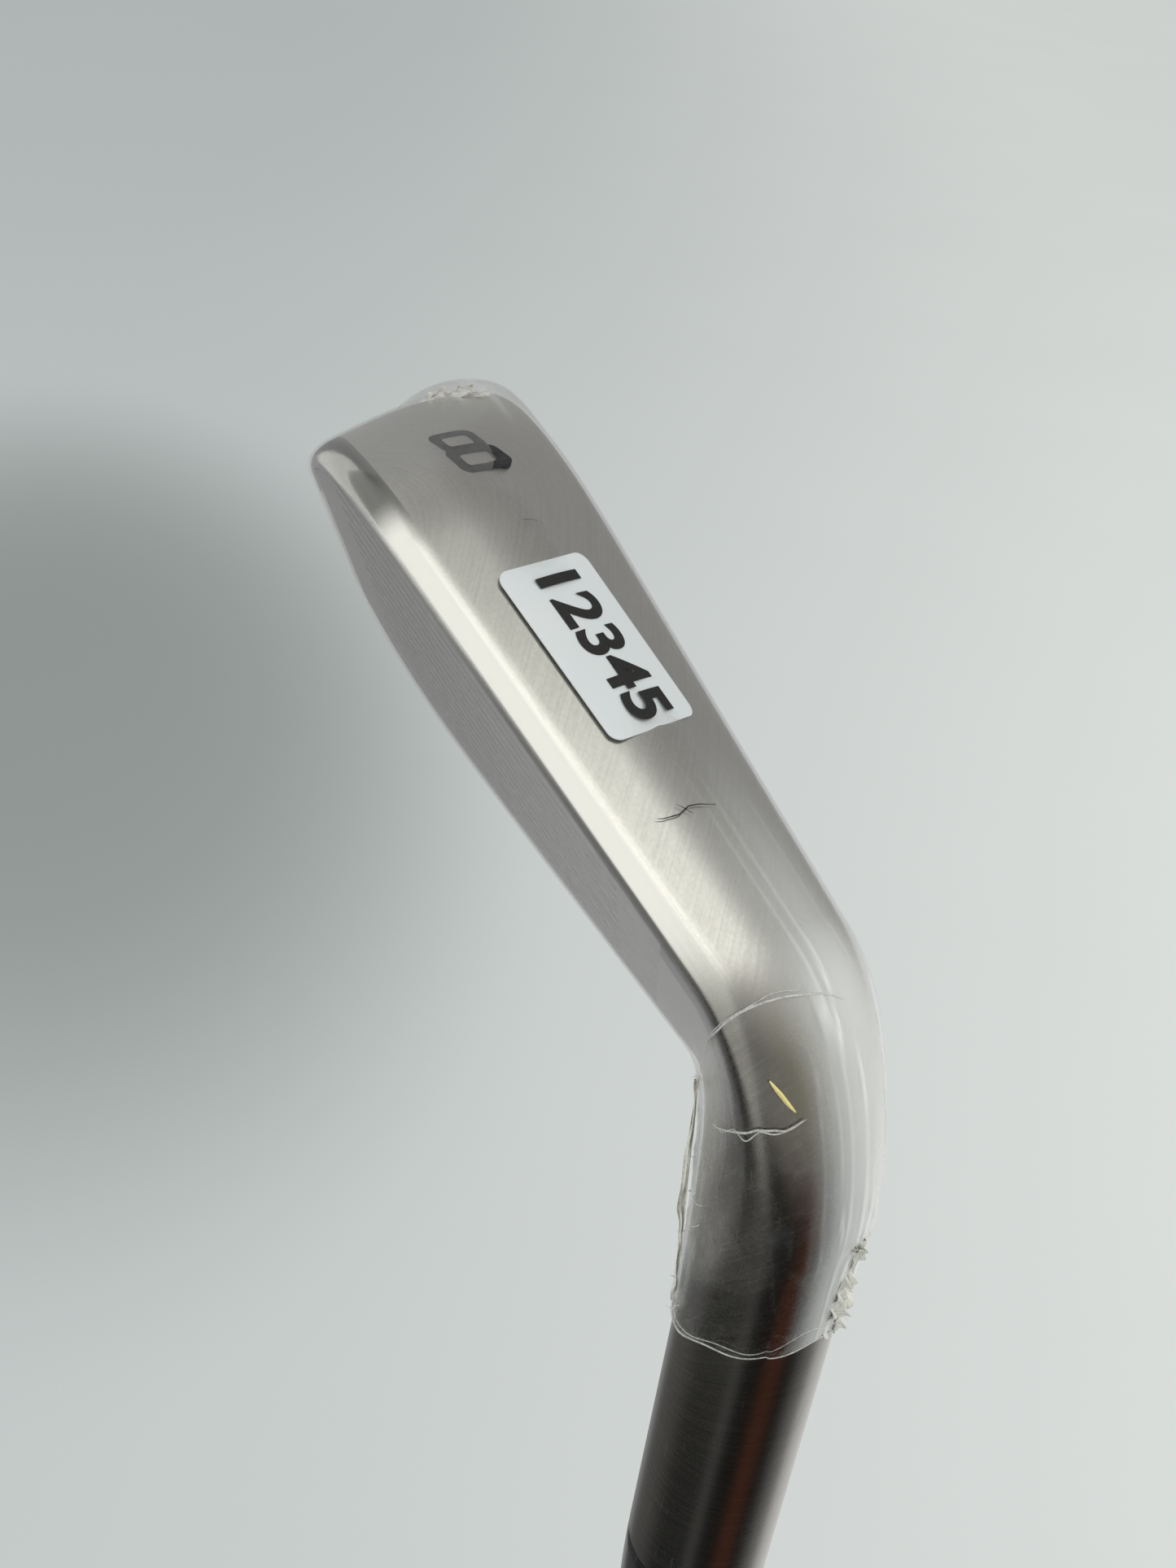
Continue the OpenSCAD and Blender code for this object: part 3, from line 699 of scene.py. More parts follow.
def milky_film(name, cover, rough=0.18, tone=(0.88, 0.87, 0.83, 1)):
    """Thick or gathered film: half clear, half milky, with bright folds."""
    f = Finish(name)
    fold = f.noise(f.place(), 1500, 4, 0.6, 1.2)
    normal = f.bump(fold, 0.0003, 0.8)
    body = f.surface({"Base Color": tone, "Roughness": rough, "Normal": normal})
    clear = f.node("ShaderNodeBsdfTransparent", None, {"Color": (0.97, 0.97, 0.96, 1)})
    cover_map = (fold.rise(0.3, 0.7) * 0.5 + cover).clamped()
    return f.done(f.node("ShaderNodeMixShader", None, {0: cover_map, 1: clear, 2: body}))


def label_paper():
    """Sticker: satin coated paper with a slight tooth."""
    f = Finish("label_paper")
    tooth = f.noise(f.place(), 3500, 4, 0.6)
    tint = f.noise(f.place(), 120, 2, 0.5)
    tone = f.mix(tint, (0.70, 0.735, 0.745, 1), (0.78, 0.80, 0.80, 1))
    tone = f.mix(tooth * 0.2, tone, (0.6, 0.63, 0.64, 1))
    return f.coat(tone, 0.36 + tooth * 0.12, tooth, 0.00001, 0.4, metal=0.12)


def label_ink():
    """Thermal print: dense black with a slight mottle."""
    f = Finish("label_ink")
    mottle = f.noise(f.place(), 4200, 3, 0.7)
    tone = f.mix(mottle.rise(0.3, 0.8), grey(0.004), grey(0.014))
    return f.coat(tone, 0.42 + mottle * 0.15, mottle, 0.000008, 0.4)


def dress(piece, material):
    """Gives the piece one material."""
    piece.data.materials.clear()
    piece.data.materials.append(material)


def keep(piece, material, slot, *nodes):
    """Finishes a new piece: its material, its body, and the CAD nodes it stands for, which it hides. The slot
    is not used.
    """
    dress(piece, material)
    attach(piece, BODY)
    if nodes:
        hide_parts(*nodes)
    return piece


# ---- head ----
FINE = 4
top_w = 2 + (HOSEL_TOP - HOSEL_LIP - LOFT_END) / HOSEL_RUN
hosel_part = np.concatenate([np.linspace(top_w, 2, 8)[:-1], np.linspace(2, 1, 17)])
heel_part = np.linspace(1, 0, 53)[1:]
blade_part = np.concatenate([np.linspace(0, 0.9, 101)[1:], np.linspace(0.9, 1, 23)[1:]])
head = head_rings(np.concatenate([hosel_part, heel_part]), blade_part, CROTCH_R, CAVITY_KNEE, 0, FINE)
rim_c = np.append(UP_AXIS * HOSEL_TOP, AXIS_Y)[[0, 2, 1]]
onward = head[0] - head[1]
rim = lerp(rim_c, head[0] + onward / np.linalg.norm(onward, axis=-1)[:, None] * HOSEL_LIP, 0.94)
head = np.concatenate([rim[None], head])


def on_face(p):
    """(x, height up the face, distance out of it) to the row frame."""
    yz = address(np.stack([p[..., 1], -p[..., 2]], -1))
    return to_row(np.stack([p[..., 0], yz[..., 0], yz[..., 1]], -1))


def face_outline(x0, x1, low, high, steps=60):
    """Closed outline on the face between two functions of x."""
    x = np.linspace(x0, x1, steps)
    return np.concatenate([np.stack([x, low(x)], -1), np.stack([x, high(x)], -1)[::-1]])


def rear_t(x):
    """Height of the trailing edge up the face."""
    return corners(x, top_t(x), CAVITY_KNEE)[:, 4, 0]


def under_sole(p):
    """(towards the toe, towards the rear, out of the sole) at the digit's place, to the row frame."""
    x, y, z = p[..., 1], p[..., 0], -p[..., 2]
    tilted = np.stack([x * math.cos(DIGIT_TILT) - z * math.sin(DIGIT_TILT), y,
                       x * math.sin(DIGIT_TILT) + z * math.cos(DIGIT_TILT)], -1)
    return to_row(tilted + np.array(DIGIT_AT))


def round_box(w, h, r, cy, steps=8):
    """Outline of a rectangle with round corners."""
    a = np.linspace(0, math.pi / 2, steps)
    quarter = np.stack([np.cos(a), np.sin(a)], -1) * r
    parts = []
    for k, (sx, sy) in enumerate([(1, 1), (-1, 1), (-1, -1), (1, -1)]):
        turn = np.array([[math.cos(k * math.pi / 2), math.sin(k * math.pi / 2)],
                         [-math.sin(k * math.pi / 2), math.cos(k * math.pi / 2)]])
        parts.append(quarter @ turn + np.array([sx * (w / 2 - r), sy * (h / 2 - r) + cy]))
    return np.concatenate(parts)


window = face_outline(WINDOW_X0, TOE_X - WINDOW_RIM - 2,
                      lambda x: rear_t(x) + MUSCLE_RIM, lambda x: top_t(x) - WINDOW_RIM)
recess = face_outline(PLATE_X0, TOE_X - 3.2, lambda x: low_t(x) + 3.6, lambda x: top_t(x) - PLATE_RIM)
angle = np.linspace(0, 2 * math.pi, 48, endpoint=False)
bore = np.stack([np.cos(angle) * BORE_R, np.sin(angle) * BORE_R], -1)
slug_x = TOE_X - WINDOW_RIM - 2
slug = np.stack([np.cos(angle) * SLUG_R + SLUG_T, np.sin(angle) * SLUG_R - SLUG_BACK], -1)


def along_axis(p):
    """(x, y) across the shaft axis and height along it, to the row frame."""
    return p * MM


def along_blade(p):
    """(height up the face, distance out of it, x) to the row frame."""
    return on_face(np.stack([p[..., 2], p[..., 0], p[..., 1]], -1))


head_piece = skin("head", to_row(head))
EIGHT_LOOPS = [round_box(5.6, 3.5, 1.0, -1.35), round_box(4.9, 3.3, 1.0, 1.45)]
EIGHT_COUNTERS = [round_box(3.4, 1.5, 0.35, -1.4), round_box(2.8, 1.4, 0.35, 1.45)]


def block_eight(name, low, high):
    """Two loops joined, less their two counters. The second loop stands a hair proud at both ends, so that
    no two faces lie in one plane."""
    body = prism(name, EIGHT_LOOPS[0], low, high, under_sole)
    upper = prism("upper", EIGHT_LOOPS[1], low - HAIR, high + HAIR, under_sole)
    combine(body, "UNION", upper)
    combine(body, "DIFFERENCE", *[prism("counter", c, low - 1, high + 1, under_sole) for c in EIGHT_COUNTERS])
    return body


combine(head_piece, "DIFFERENCE",
        prism("bore", bore, HOSEL_END - 1, HOSEL_END + BORE_DEPTH, along_axis),
        prism("recess", recess, -PLATE_T, 1, on_face),
        prism("window", window, -PAST_REAR, -PLATE_T + 0.02, on_face),
        prism("slug", slug, slug_x - 1, slug_x + SLUG_DEPTH, along_blade),
        block_eight("digit_cut", -DIGIT_DEPTH, DIGIT_PROUD))
crisp(head_piece, 34)
keep(head_piece, satin_steel(), "head_steel", "head_body")

paint = block_eight("digit_paint", -DIGIT_DEPTH, -PAINT_SUNK)
crisp(paint, 34)
keep(paint, charcoal_paint(), "number_paint", "number_fill")

# ---- label ----
def label_point(heelward, back, rise):
    """Distances towards the heel, to the back and out from the film, laid on the sole's curve."""
    x, y = LABEL_X - heelward, LABEL_Y + back
    z = sole_z(x.ravel(), y.ravel()).reshape(x.shape)
    return to_row(np.stack([x, y, z - LABEL_OFF - rise], -1))


edge = round_box(LABEL_LEN, LABEL_W, 1.1, 0)
spread = np.concatenate([np.linspace(0.02, 0.995, 22), [1.0, 1.0, 0.995], np.linspace(0.97, 0.02, 12)])
lift = np.concatenate([np.full(22, LABEL_T), [LABEL_T * 0.8, LABEL_T * 0.2, 0], np.zeros(12)])
flat = spread[:, None, None] * edge[None]
lift = np.broadcast_to(lift[:, None], flat.shape[:2])
sticker = skin("label_sticker", label_point(flat[..., 0], flat[..., 1], lift))
keep(sticker, label_paper(), "label_white", "stock_label")

STOCK_NUMBER, TEXT_SIZE, TEXT_BOLD, TEXT_THICK, TEXT_LIFT = "12345", 6.4, 0.16, 0.03, 0.04


def sticker_digits():
    """Bold digits cut from flat text, sliced across so that they follow the sole's curve."""
    curve = bpy.data.curves.new("digits", "FONT")
    curve.body, curve.size, curve.offset, curve.extrude = STOCK_NUMBER, TEXT_SIZE, TEXT_BOLD, TEXT_THICK
    curve.align_x, curve.align_y = "CENTER", "CENTER"
    text = bpy.data.objects.new("digits", curve)
    bpy.context.scene.collection.objects.link(text)
    graph = bpy.context.evaluated_depsgraph_get()
    mesh = bpy.data.meshes.new_from_object(text.evaluated_get(graph))
    bpy.data.objects.remove(text)
    work = bmesh.new()
    work.from_mesh(mesh)
    bmesh.ops.remove_doubles(work, verts=work.verts, dist=1e-4)
    for cut in np.arange(-3, 3.01, 0.5):
        everything = work.verts[:] + work.edges[:] + work.faces[:]
        bmesh.ops.bisect_plane(work, geom=everything, plane_co=(0, cut, 0), plane_no=(0, 1, 0))
    work.to_mesh(mesh)
    work.free()
    co = np.zeros(len(mesh.vertices) * 3, np.float32)
    mesh.vertices.foreach_get("co", co)
    co = co.reshape(-1, 3).astype(float)
    placed = label_point(co[:, 0], co[:, 1], LABEL_T + TEXT_LIFT + co[:, 2])
    mesh.vertices.foreach_set("co", placed.astype(np.float32).ravel())
    piece = bpy.data.objects.new("label_digits", mesh)
    bpy.context.scene.collection.objects.link(piece)
    return piece


ink = label_ink()
keep(sticker_digits(), ink, "label_ink", "label_print")

# ---- shaft, ferrule, grip ----
shaft_low, shaft_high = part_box("shaft")
butt_r, tip_z = shaft_high.x / MM, shaft_high.z / MM
TIP_R, WALL, STEPS, STEP_Z, STEP_PITCH, STEP_EASE = 4.7, 0.5, 11, 340.0, 38.0, 3


def shaft_profile():
    """Tube: a straight butt, rolled steps that each ease down over a short length, and a straight tip."""
    outer = [np.array([[butt_r, shaft_low.z / MM]])]
    for i in range(STEPS):
        k = np.linspace(0, 1, 9)
        r = lerp(lerp(butt_r, TIP_R, i / STEPS), lerp(butt_r, TIP_R, (i + 1) / STEPS), ramp(0, 1, k))
        outer.append(np.stack([r, STEP_Z + i * STEP_PITCH + STEP_EASE * k], -1))
    outer.append(np.array([[TIP_R, tip_z]]))
    outer = np.concatenate(outer)
    return np.concatenate([outer, (outer - [WALL, 0])[::-1]])


shaft = turned("steel_shaft", shaft_profile(), 96)
crisp(shaft, 40)
keep(shaft, plated_shaft(), "shaft_steel", "shaft")

ferrule_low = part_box("ferrule")[0].z / MM


def collar_profile():
    """Ferrule: a thin lip at the shaft that swells to the hosel's width, by a cosine to the power 0.7."""
    k = np.linspace(0, 1, 33)
    swell_r = lerp(TIP_R + 0.55, HOSEL_R, np.cos(k * math.pi / 2) ** 0.7)
    outer = np.stack([swell_r, lerp(HOSEL_END - 0.06, ferrule_low, k)], -1)
    outer[:2, 0] = [HOSEL_R - 0.12, HOSEL_R - 0.01]
    lip = [[TIP_R + 0.3, ferrule_low], [TIP_R, ferrule_low]]
    return np.concatenate([[[TIP_R, HOSEL_END - 0.02]], outer, lip])


ferrule = turned("collar", collar_profile(), 96)
crisp(ferrule, 40)
keep(ferrule, gloss_collar(), "ferrule_black", "ferrule")

cap_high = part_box("grip_cap")[1]
cap_r, cap_t, grip_end = cap_high.x / MM, cap_high.z / MM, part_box("grip_sleeve")[1].z / MM
MOUTH_R, NECK_IN, FLARE, FLARE_FALL = 8.8, 1.9, 1.6, 18
LOZENGES, ROW_PITCH = 12, 7.0
# place along the grip, and half widths at the rim and the floor, of each sunk ring
GRIP_RINGS = [(129.5, 0.6, 0.25), (137.5, 0.6, 0.25), (20, 0.7, 0.3), (253, 0.7, 0.3)]


def grip_r(z):
    """Quick fall below the cap, then a straight taper to the mouth."""
    taper = lerp(MOUTH_R, cap_r - NECK_IN, (grip_end - z) / grip_end)
    return taper + FLARE * np.exp(-(z - cap_t) / FLARE_FALL)


def grip_relief(a, r, z):
    """Rows of sunk lozenges, staggered row by row, each with a slit raised in it. The ends and one band
    in the middle are plain and marked off by sunk rings, and a smooth stripe runs up the back."""
    outer = r > butt_r + 0.6
    row = z / ROW_PITCH
    cell_a = a * LOZENGES / (2 * math.pi) + 0.5 * (np.floor(row) % 2)
    da, dz = np.abs(cell_a % 1 - 0.5), np.abs(row % 1 - 0.5)
    lozenge = ramp(0.46, 0.36, da * 1.05 + dz * 0.9)
    slit = ramp(0.09, 0.03, np.abs(da * 1.05 + dz * 0.9 - 0.14))
    body = ramp(22, 26, z) * ramp(250, 246, z)
    plain = 1 - ramp(128, 129, z) * ramp(139, 138, z)
    rings = sum(ramp(brim, floor, np.abs(z - at)) for at, brim, floor in GRIP_RINGS)
    stripe = 1 - ramp(0.22, 0.12, np.abs(a - math.pi / 2))
    depth = 0.34 * lozenge * body * plain * stripe - 0.2 * slit * body * plain * stripe + 0.35 * rings
    return r - np.where(outer, depth, 0)


sleeve_z = np.linspace(cap_t + 0.15, grip_end - 3, 470)
tape_low, tape_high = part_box("grip_tape")
sleeve = np.concatenate([
    [[butt_r, cap_t], [grip_r(cap_t) - 0.3, cap_t]], np.stack([grip_r(sleeve_z), sleeve_z], -1),
    [[MOUTH_R + 0.55, grip_end - 2.6], [MOUTH_R + 0.5, grip_end - 0.5], [MOUTH_R + 0.1, grip_end],
     [butt_r, grip_end], [butt_r, tape_high.z / MM], [tape_high.x / MM, tape_high.z / MM],
     [tape_high.x / MM, tape_low.z / MM], [butt_r, tape_low.z / MM]]])
grip = turned("rubber_grip", sleeve, 168, grip_relief)
crisp(grip, 50)
keep(grip, moulded_rubber("sleeve_rubber", 0.012, 0.55), "grip_rubber", "grip_sleeve")


def cap_relief(a, r, z):
    """Shallow flutes round the rim."""
    rim_part = ramp(cap_r - 1.4, cap_r - 0.4, r)
    return r - 0.22 * rim_part * ramp(0.25, 0.6, np.abs(np.sin(a * 18)))


def cap_profile():
    """Disc with a rounded rim, a sunk ring and a raised eyelet round the vent hole."""
    k = np.linspace(0, math.pi / 2, 7)
    edge_curve = np.stack([cap_r - 1.2 + 1.2 * np.sin(k), 1.2 - 1.2 * np.cos(k)], -1)
    ring = np.array([[1.6, cap_t], [1.6, 0.3], [1.75, 0.05], [2.1, 0], [2.9, 0], [3.2, 0.3], [3.6, 0.45],
                     [8.6, 0.45], [9.0, 0.3], [9.2, 0.05], [9.5, 0]])
    wall = np.array([[cap_r, cap_t - 0.5], [cap_r - 0.4, cap_t - 0.08], [cap_r - 0.7, cap_t]])
    side = np.stack([np.full(6, cap_r), np.linspace(1.5, cap_t - 0.8, 6)], -1)
    return np.concatenate([ring, edge_curve, side, wall])


cap = turned("butt_cap", cap_profile(), 216, cap_relief)
crisp(cap, 40)
keep(cap, moulded_rubber("cap_rubber", 0.016, 0.42), "cap_rubber", "grip_cap")

# ---- CAD nodes that keep their shape ----
for node, material in {
        "face_plate": blasted_face(),
        "toe_weight": turned_metal("dense_slug", (0.33, 0.33, 0.34, 1), 0.38),
        "badge_tape": foam_tape(),
        "cavity_badge": badge_plate(),
        "hosel_epoxy": cured_epoxy(),
        "tip_weight": turned_metal("brass_plug", (0.72, 0.53, 0.22, 1), 0.22),
        "shaft_band": printed_band(),
        "grip_tape": paper_tape()}.items():
    dress(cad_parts[node], material)

# ---- shrink film ----
film_fans = np.concatenate([np.linspace(FILM_END, 1, 30), np.linspace(1, 0, 61)[1:]])
film_blades = np.concatenate([np.linspace(0, 0.9, 61)[1:], np.linspace(0.9, 1, 25)[1:]])
film_size = 48 * FINE
film_s = np.concatenate([film_fans, -film_blades])[:, None] * np.ones(film_size)
film_r = np.arange(film_size)[None] / film_size * np.ones((len(film_s), 1))


def near(at, width):
    """1 at that place round the ring, falling off over the width to both sides."""
    d = np.abs((film_r - at + 0.5) % 1 - 0.5)
    return np.clip(1 - d / width, 0, 1) ** 2 * (3 - 2 * np.clip(1 - d / width, 0, 1))


# creases: torn and radiating on the crotch side, gathered in the web behind the heel and at the toe's weld
at_heel = ramp(-0.12, 0.35, film_s)
at_toe = ramp(0.9, 1.0, -film_s)
behind_toe = near(0.79, 0.09) * ramp(0.60, 0.80, -film_s) * ramp(1.0, 0.94, -film_s)
web = near(0.86, 0.12) * ramp(-0.2, 0.25, film_s)
torn = near(0.26, 0.09) * at_heel * ramp(1.1, 0.8, film_s)
radiating = ridge(film_s * 3 + film_r * 3, film_r * 44, 3) + 0.7 * ridge(film_s * 5, film_r * 70, 4)
loose = ridge(film_s * 9, film_r * 30 + film_s * 4, 5)
long_folds = ridge(film_s * 1.6, film_r * 90, 8)
crease = radiating * (0.8 * torn + 0.25 * at_heel * near(0.5, 0.2))
crease += long_folds * (0.9 * web + 0.3 * behind_toe)
crease += loose * (0.12 * at_toe + 0.03 * at_heel) + 0.5 * loose * torn
haze = np.clip(crease, 0, 1) + 1.2 * web + 0.35 * torn + 0.15 * behind_toe
swell = lattice_noise(film_s * 4 + 7, film_r * 14, 6) * (0.25 * torn + 0.12 * at_toe)
swell += 0.7 * near(0.8, 0.12) * at_heel * ramp(FILM_END, 0.9, film_s) + 0.9 * behind_toe
relief = 0.22 * crease + swell + 0.03 * lattice_noise(film_s * 12, film_r * 40, 9)
outer = head_rings(film_fans, film_blades, WEB_R, STRAIGHT_KNEE, FILM_GAP + FILM_T + relief, FINE)
inner = head_rings(film_fans, film_blades, WEB_R, STRAIGHT_KNEE, FILM_GAP + relief, FINE)
# the cut rim runs higher on the crotch side
hosel_up = np.array([UP_AXIS[0], 0, UP_AXIS[1]])
pull = (-3.2 * near(0.25, 0.34) + 0.25 * np.sin(film_r * 40)) * ramp(0.95, FILM_END, film_s)
outer, inner = [sheet + pull[..., None] * hosel_up for sheet in (outer, inner)]
film = skin("shrink_wrap", to_row(np.concatenate([inner[::-1], outer])))
mark = film.data.attributes.new("haze", "FLOAT", "POINT")
mark.data.foreach_set("value", np.concatenate([haze[::-1], haze]).astype(np.float32).ravel())
keep(film, clear_film(), "clear_film", "shrink_film")


def film_at(s, r):
    """Points on the film's outer face at section values s and ring places r, 0 to 1."""
    order = np.argsort(film_s[:, 0])
    i = np.interp(s, film_s[order, 0], order.astype(float))
    j = (np.asarray(r) % 1) * film_size
    i0, j0 = np.clip(np.floor(i).astype(int), 0, len(outer) - 2), np.floor(j).astype(int)
    fi, fj = (i - i0)[:, None], (j - j0)[:, None]
    j1 = (j0 + 1) % film_size
    j0 = j0 % film_size
    return lerp(lerp(outer[i0, j0], outer[i0, j1], fj), lerp(outer[i0 + 1, j0], outer[i0 + 1, j1], fj), fi)


def place_on_film(point):
    """Section value and ring place of the film's point nearest to a point in the address frame."""
    d = np.linalg.norm(outer - np.asarray(point), axis=-1)
    i, j = np.unravel_index(np.argmin(d), d.shape)
    return film_s[i, 0], j / film_size


def tubes(name, paths, radii, sides=6):
    """Round threads in one mesh: paths (thread, step, xyz) in the address frame, radii (thread, step)."""
    along = unit(np.gradient(paths, axis=1))
    side = unit(np.cross(along, np.array([0.31, 0.17, 0.93])))
    other = np.cross(along, side)
    a = 2 * math.pi * np.arange(sides) / sides
    ring = side[..., None, :] * np.cos(a)[:, None] + other[..., None, :] * np.sin(a)[:, None]
    rings = paths[..., None, :] + ring * radii[..., None, None]
    count, steps = paths.shape[:2]
    points = to_row(rings.reshape(-1, 3))
    i = np.arange(steps - 1)[:, None]
    j = np.arange(sides)[None]
    jj = (j + 1) % sides
    here, ahead = i * sides, (i + 1) * sides
    quad = np.stack([here + j, ahead + j, ahead + jj, here + jj], -1).reshape(-1, 4)
    shift = (np.arange(count) * steps * sides)[:, None, None]
    cap = np.stack([np.arange(sides), (steps - 1) * sides + np.arange(sides)[::-1]])
    faces = [(quad[None] + shift).reshape(-1, 4), (cap[None] + shift).reshape(-1, sides)]
    if volume(points, faces) < 0:
        faces = [f[:, ::-1] for f in faces]
    return add_mesh(name, points, faces)


def smoothed(v, reach=12):
    """Running average over reach values to each side, mirrored through both ends so that they stay put."""
    span = 2 * reach + 1
    return np.convolve(np.pad(v, reach, "reflect", reflect_type="odd"), np.ones(span) / span, "valid")


def crease_line(points, steps=120, wander=0.0, seed=1):
    """A path on the film through the places nearest to a few points, with a slight wander."""
    places = np.array([place_on_film(p) for p in points])
    places[:, 1] = np.unwrap(places[:, 1] * 2 * math.pi) / (2 * math.pi)
    knots = np.linspace(0, 1, len(places))
    t = np.linspace(0, 1, steps)
    s, r = np.interp(t, knots, places[:, 0]), np.interp(t, knots, places[:, 1])
    for _ in range(2):
        s, r = smoothed(s), smoothed(r)
    drift = (lattice_noise(t * 7, np.full_like(t, seed), seed) - 0.5) * wander
    return film_at(s + drift * 0.5, r + drift * 0.12)


# points that each fold passes close to, in the address frame
heel_arc = [(4.4, 2.9, 10.1), (4.3, 0.4, 5.0), (4.2, -1, 0.4),
            (3.6, 2.9, -0.5), (2.6, 5.5, -0.2), (1.3, 8, 0.15)]
crotch_arc = [(-0.6, 2.6, 14.4), (-1.8, 0.4, 10.6), (-2.65, -1.4, 6.7),
              (-3.6, -0.8, 5.6), (-4.4, 0, 5), (-4.55, 1.4, 4)]
lines = [crease_line(heel_arc, wander=0.02, seed=2),
         crease_line(heel_arc, wander=0.05, seed=4) + [0.3, 0, 0],
         crease_line(crotch_arc, wander=0.03, seed=6),
         crease_line(crotch_arc, wander=0.06, seed=8) + [-0.35, 0, 0.15]]
rim_r = np.linspace(0, 1, 120)
lines += [film_at(np.full(120, FILM_END - 0.005), rim_r),
          film_at(FILM_END - 0.05 + 0.02 * np.sin(rim_r * 19) + 0.015 * np.sin(rim_r * 44 + 1), rim_r)]
taper = np.sin(np.linspace(0.12, math.pi - 0.12, 120)) ** 0.4
width = np.array([0.10, 0.05, 0.10, 0.06, 0.11, 0.06])[:, None] * taper * np.ones((1, 120))
keep(tubes("film_folds", np.array(lines), width), milky_film("fold_film", 0.3), "clear_film")


def crumple(name, start, end, out, height, depth, seed, size=(60, 26)):
    """A gathered ruffle of film along a line: its height and its sideways folds are noise of two sizes."""
    u = np.linspace(0, 1, size[0])[:, None]
    v = np.linspace(0, 1, size[1])[None]
    out = unit(np.asarray(out, float))
    line = np.asarray(end, float) - np.asarray(start, float)
    side = unit(np.cross(line, out))
    arch = np.sin(np.pi * (0.08 + 0.84 * u)) ** 0.5
    tall = height * (0.35 + 0.65 * lattice_noise(u * 9, np.zeros_like(v), seed)) * arch
    fold = (lattice_noise(u * 11, v * 3.5, seed + 1) - 0.5) * 2
    fold = fold + 0.5 * (lattice_noise(u * 23, v * 7, seed + 2) - 0.5)
    slip = (lattice_noise(u * 7, v * 4, seed + 3) - 0.5) * 1.4
    p = np.asarray(start, float) + u[..., None] * line + (v * tall)[..., None] * out
    sway = np.sin(np.pi * np.clip(v * 0.9 + 0.1, 0, 1))
    p = p + (fold * depth * sway)[..., None] * side + (slip * v * 0.6)[..., None] * unit(line)
    thick = 0.05 * side
    rings = np.concatenate([p - thick, (p + thick)[:, ::-1]], 1)
    return skin(name, to_row(rings))


weld_film = milky_film("weld_film", 0.7, 0.14, (0.93, 0.91, 0.84, 1))
heel_out, face_out = (0.15, 0.95, -0.25), (-0.1, -0.8, 0.6)
gather_s = np.array([FILM_END, FILM_END - 0.4])
# both ends of each ruffle's line, its way out, its height and depth in millimetres, and its seed
ruffles = {
    "toe_weld": ((67.0, 15.0, 8.6), (64.9, 21.6, 6.0), (0.55, 0.1, -0.83), 1.3, 0.6, 11),
    "toe_weld_fray": ((66.9, 16.4, 8.0), (65.6, 20.6, 6.6), (0.75, 0.2, -0.63), 1.6, 0.7, 17),
    "rim_gather": (*film_at(gather_s, np.array([0.885, 0.875])), heel_out, 2.4, 1.3, 23),
    "rim_gather_fray": (*film_at(gather_s, np.array([0.855, 0.862])), heel_out, 2.0, 1.1, 31),
    "crotch_fray": (*film_at(np.array([0.15, 0.95]), np.array([0.235, 0.245])), face_out, 1.3, 0.8, 41)}
for name, ruffle in ruffles.items():
    keep(crumple(name, *ruffle), weld_film, "clear_film")


def frays():
    """Torn wisps at the crotch and the rim: short threads that leave the film and curl away."""
    rng = np.random.default_rng(5)
    count, steps = 44, 14
    s = np.concatenate([rng.uniform(0.1, 1.2, 30), np.full(14, FILM_END)])
    r = np.concatenate([rng.normal(0.27, 0.04, 30), rng.uniform(0.68, 0.82, 14)])
    root = film_at(s, r)
    centre = np.array([UP_AXIS[0] * 20, AXIS_Y, UP_AXIS[1] * 20])
    out = unit(root - centre + rng.normal(0, 2.5, (count, 3)))
    lean = unit(rng.normal(0, 1, (count, 3)))
    t = np.linspace(0, 1, steps)[None, :, None]
    length = rng.uniform(0.5, 1.5, (count, 1, 1))
    paths = root[:, None] + length * (out[:, None] * t * 0.7 + lean[:, None] * t * t * 0.6)
    radii = 0.06 * (1 - 0.85 * t[..., 0]) * np.ones((count, 1))
    return tubes("film_wisps", paths, radii, 5)


keep(frays(), milky_film("wisp_film", 0.45), "clear_film")


def gold_highlight_streak():
    """Thin golden streak along the film at the heel: a painted highlight, standing in for a golden reflection
    on the heel.
    """
    run = [(-0.7, -0.2, 2.3), (-1.8, 0.1, 2.7), (-2.7, 0.5, 3.1), (-3.6, 0.95, 3.6)]
    path = crease_line(run, steps=40)[None]
    return tubes("gold_highlight_streak", path, 0.2 * np.sin(np.linspace(0.1, math.pi - 0.1, 40))[None] ** 0.6)


# painted highlight: a bright golden thread in place of a reflection
keep(gold_highlight_streak(), milky_film("gold_highlight_film", 1.0, 0.1, (1.0, 0.86, 0.36, 1)), "clear_film")


def film_nicks():
    """Dark hairline splits in the film, all on the sole: a bent line across it, a short branch beside that
    and a fine tick further out to the toe."""
    strokes = [[(19.9, 2.4), (19.65, 3.0), (19.4, 4.4), (19.7, 5.6), (19.5, 6.6), (18.9, 8.3)],
               [(20.3, 4.7), (20.0, 4.9), (19.6, 5.2), (19.4, 5.3), (19.2, 5.4), (19.0, 5.6)],
               [(47.9, 9.2), (47.8, 9.5), (47.7, 9.9), (47.7, 10.2), (47.5, 10.6), (47.4, 10.9)]]
    t = np.linspace(0, 1, 30)
    paths = []
    for stroke in strokes:
        xy = np.array(stroke)
        knots = np.linspace(0, 1, len(xy))
        x, y = np.interp(t, knots, xy[:, 0]), np.interp(t, knots, xy[:, 1])
        paths.append(np.stack([x, y, sole_z(x, y) - LABEL_OFF + 0.02], -1))
    radii = np.array([0.055, 0.03, 0.02])[:, None] * np.sin(np.linspace(0.1, math.pi - 0.1, 30)) ** 0.5
    return tubes("film_nicks", np.array(paths), radii, 5)


keep(film_nicks(), ink, "label_ink")


# ---- stage, lights and camera ----
TENT_R, FLOOR_SIZE = 4.0, 240
WARM_BROWN = (0.17, 0.06, 0.033, 1)


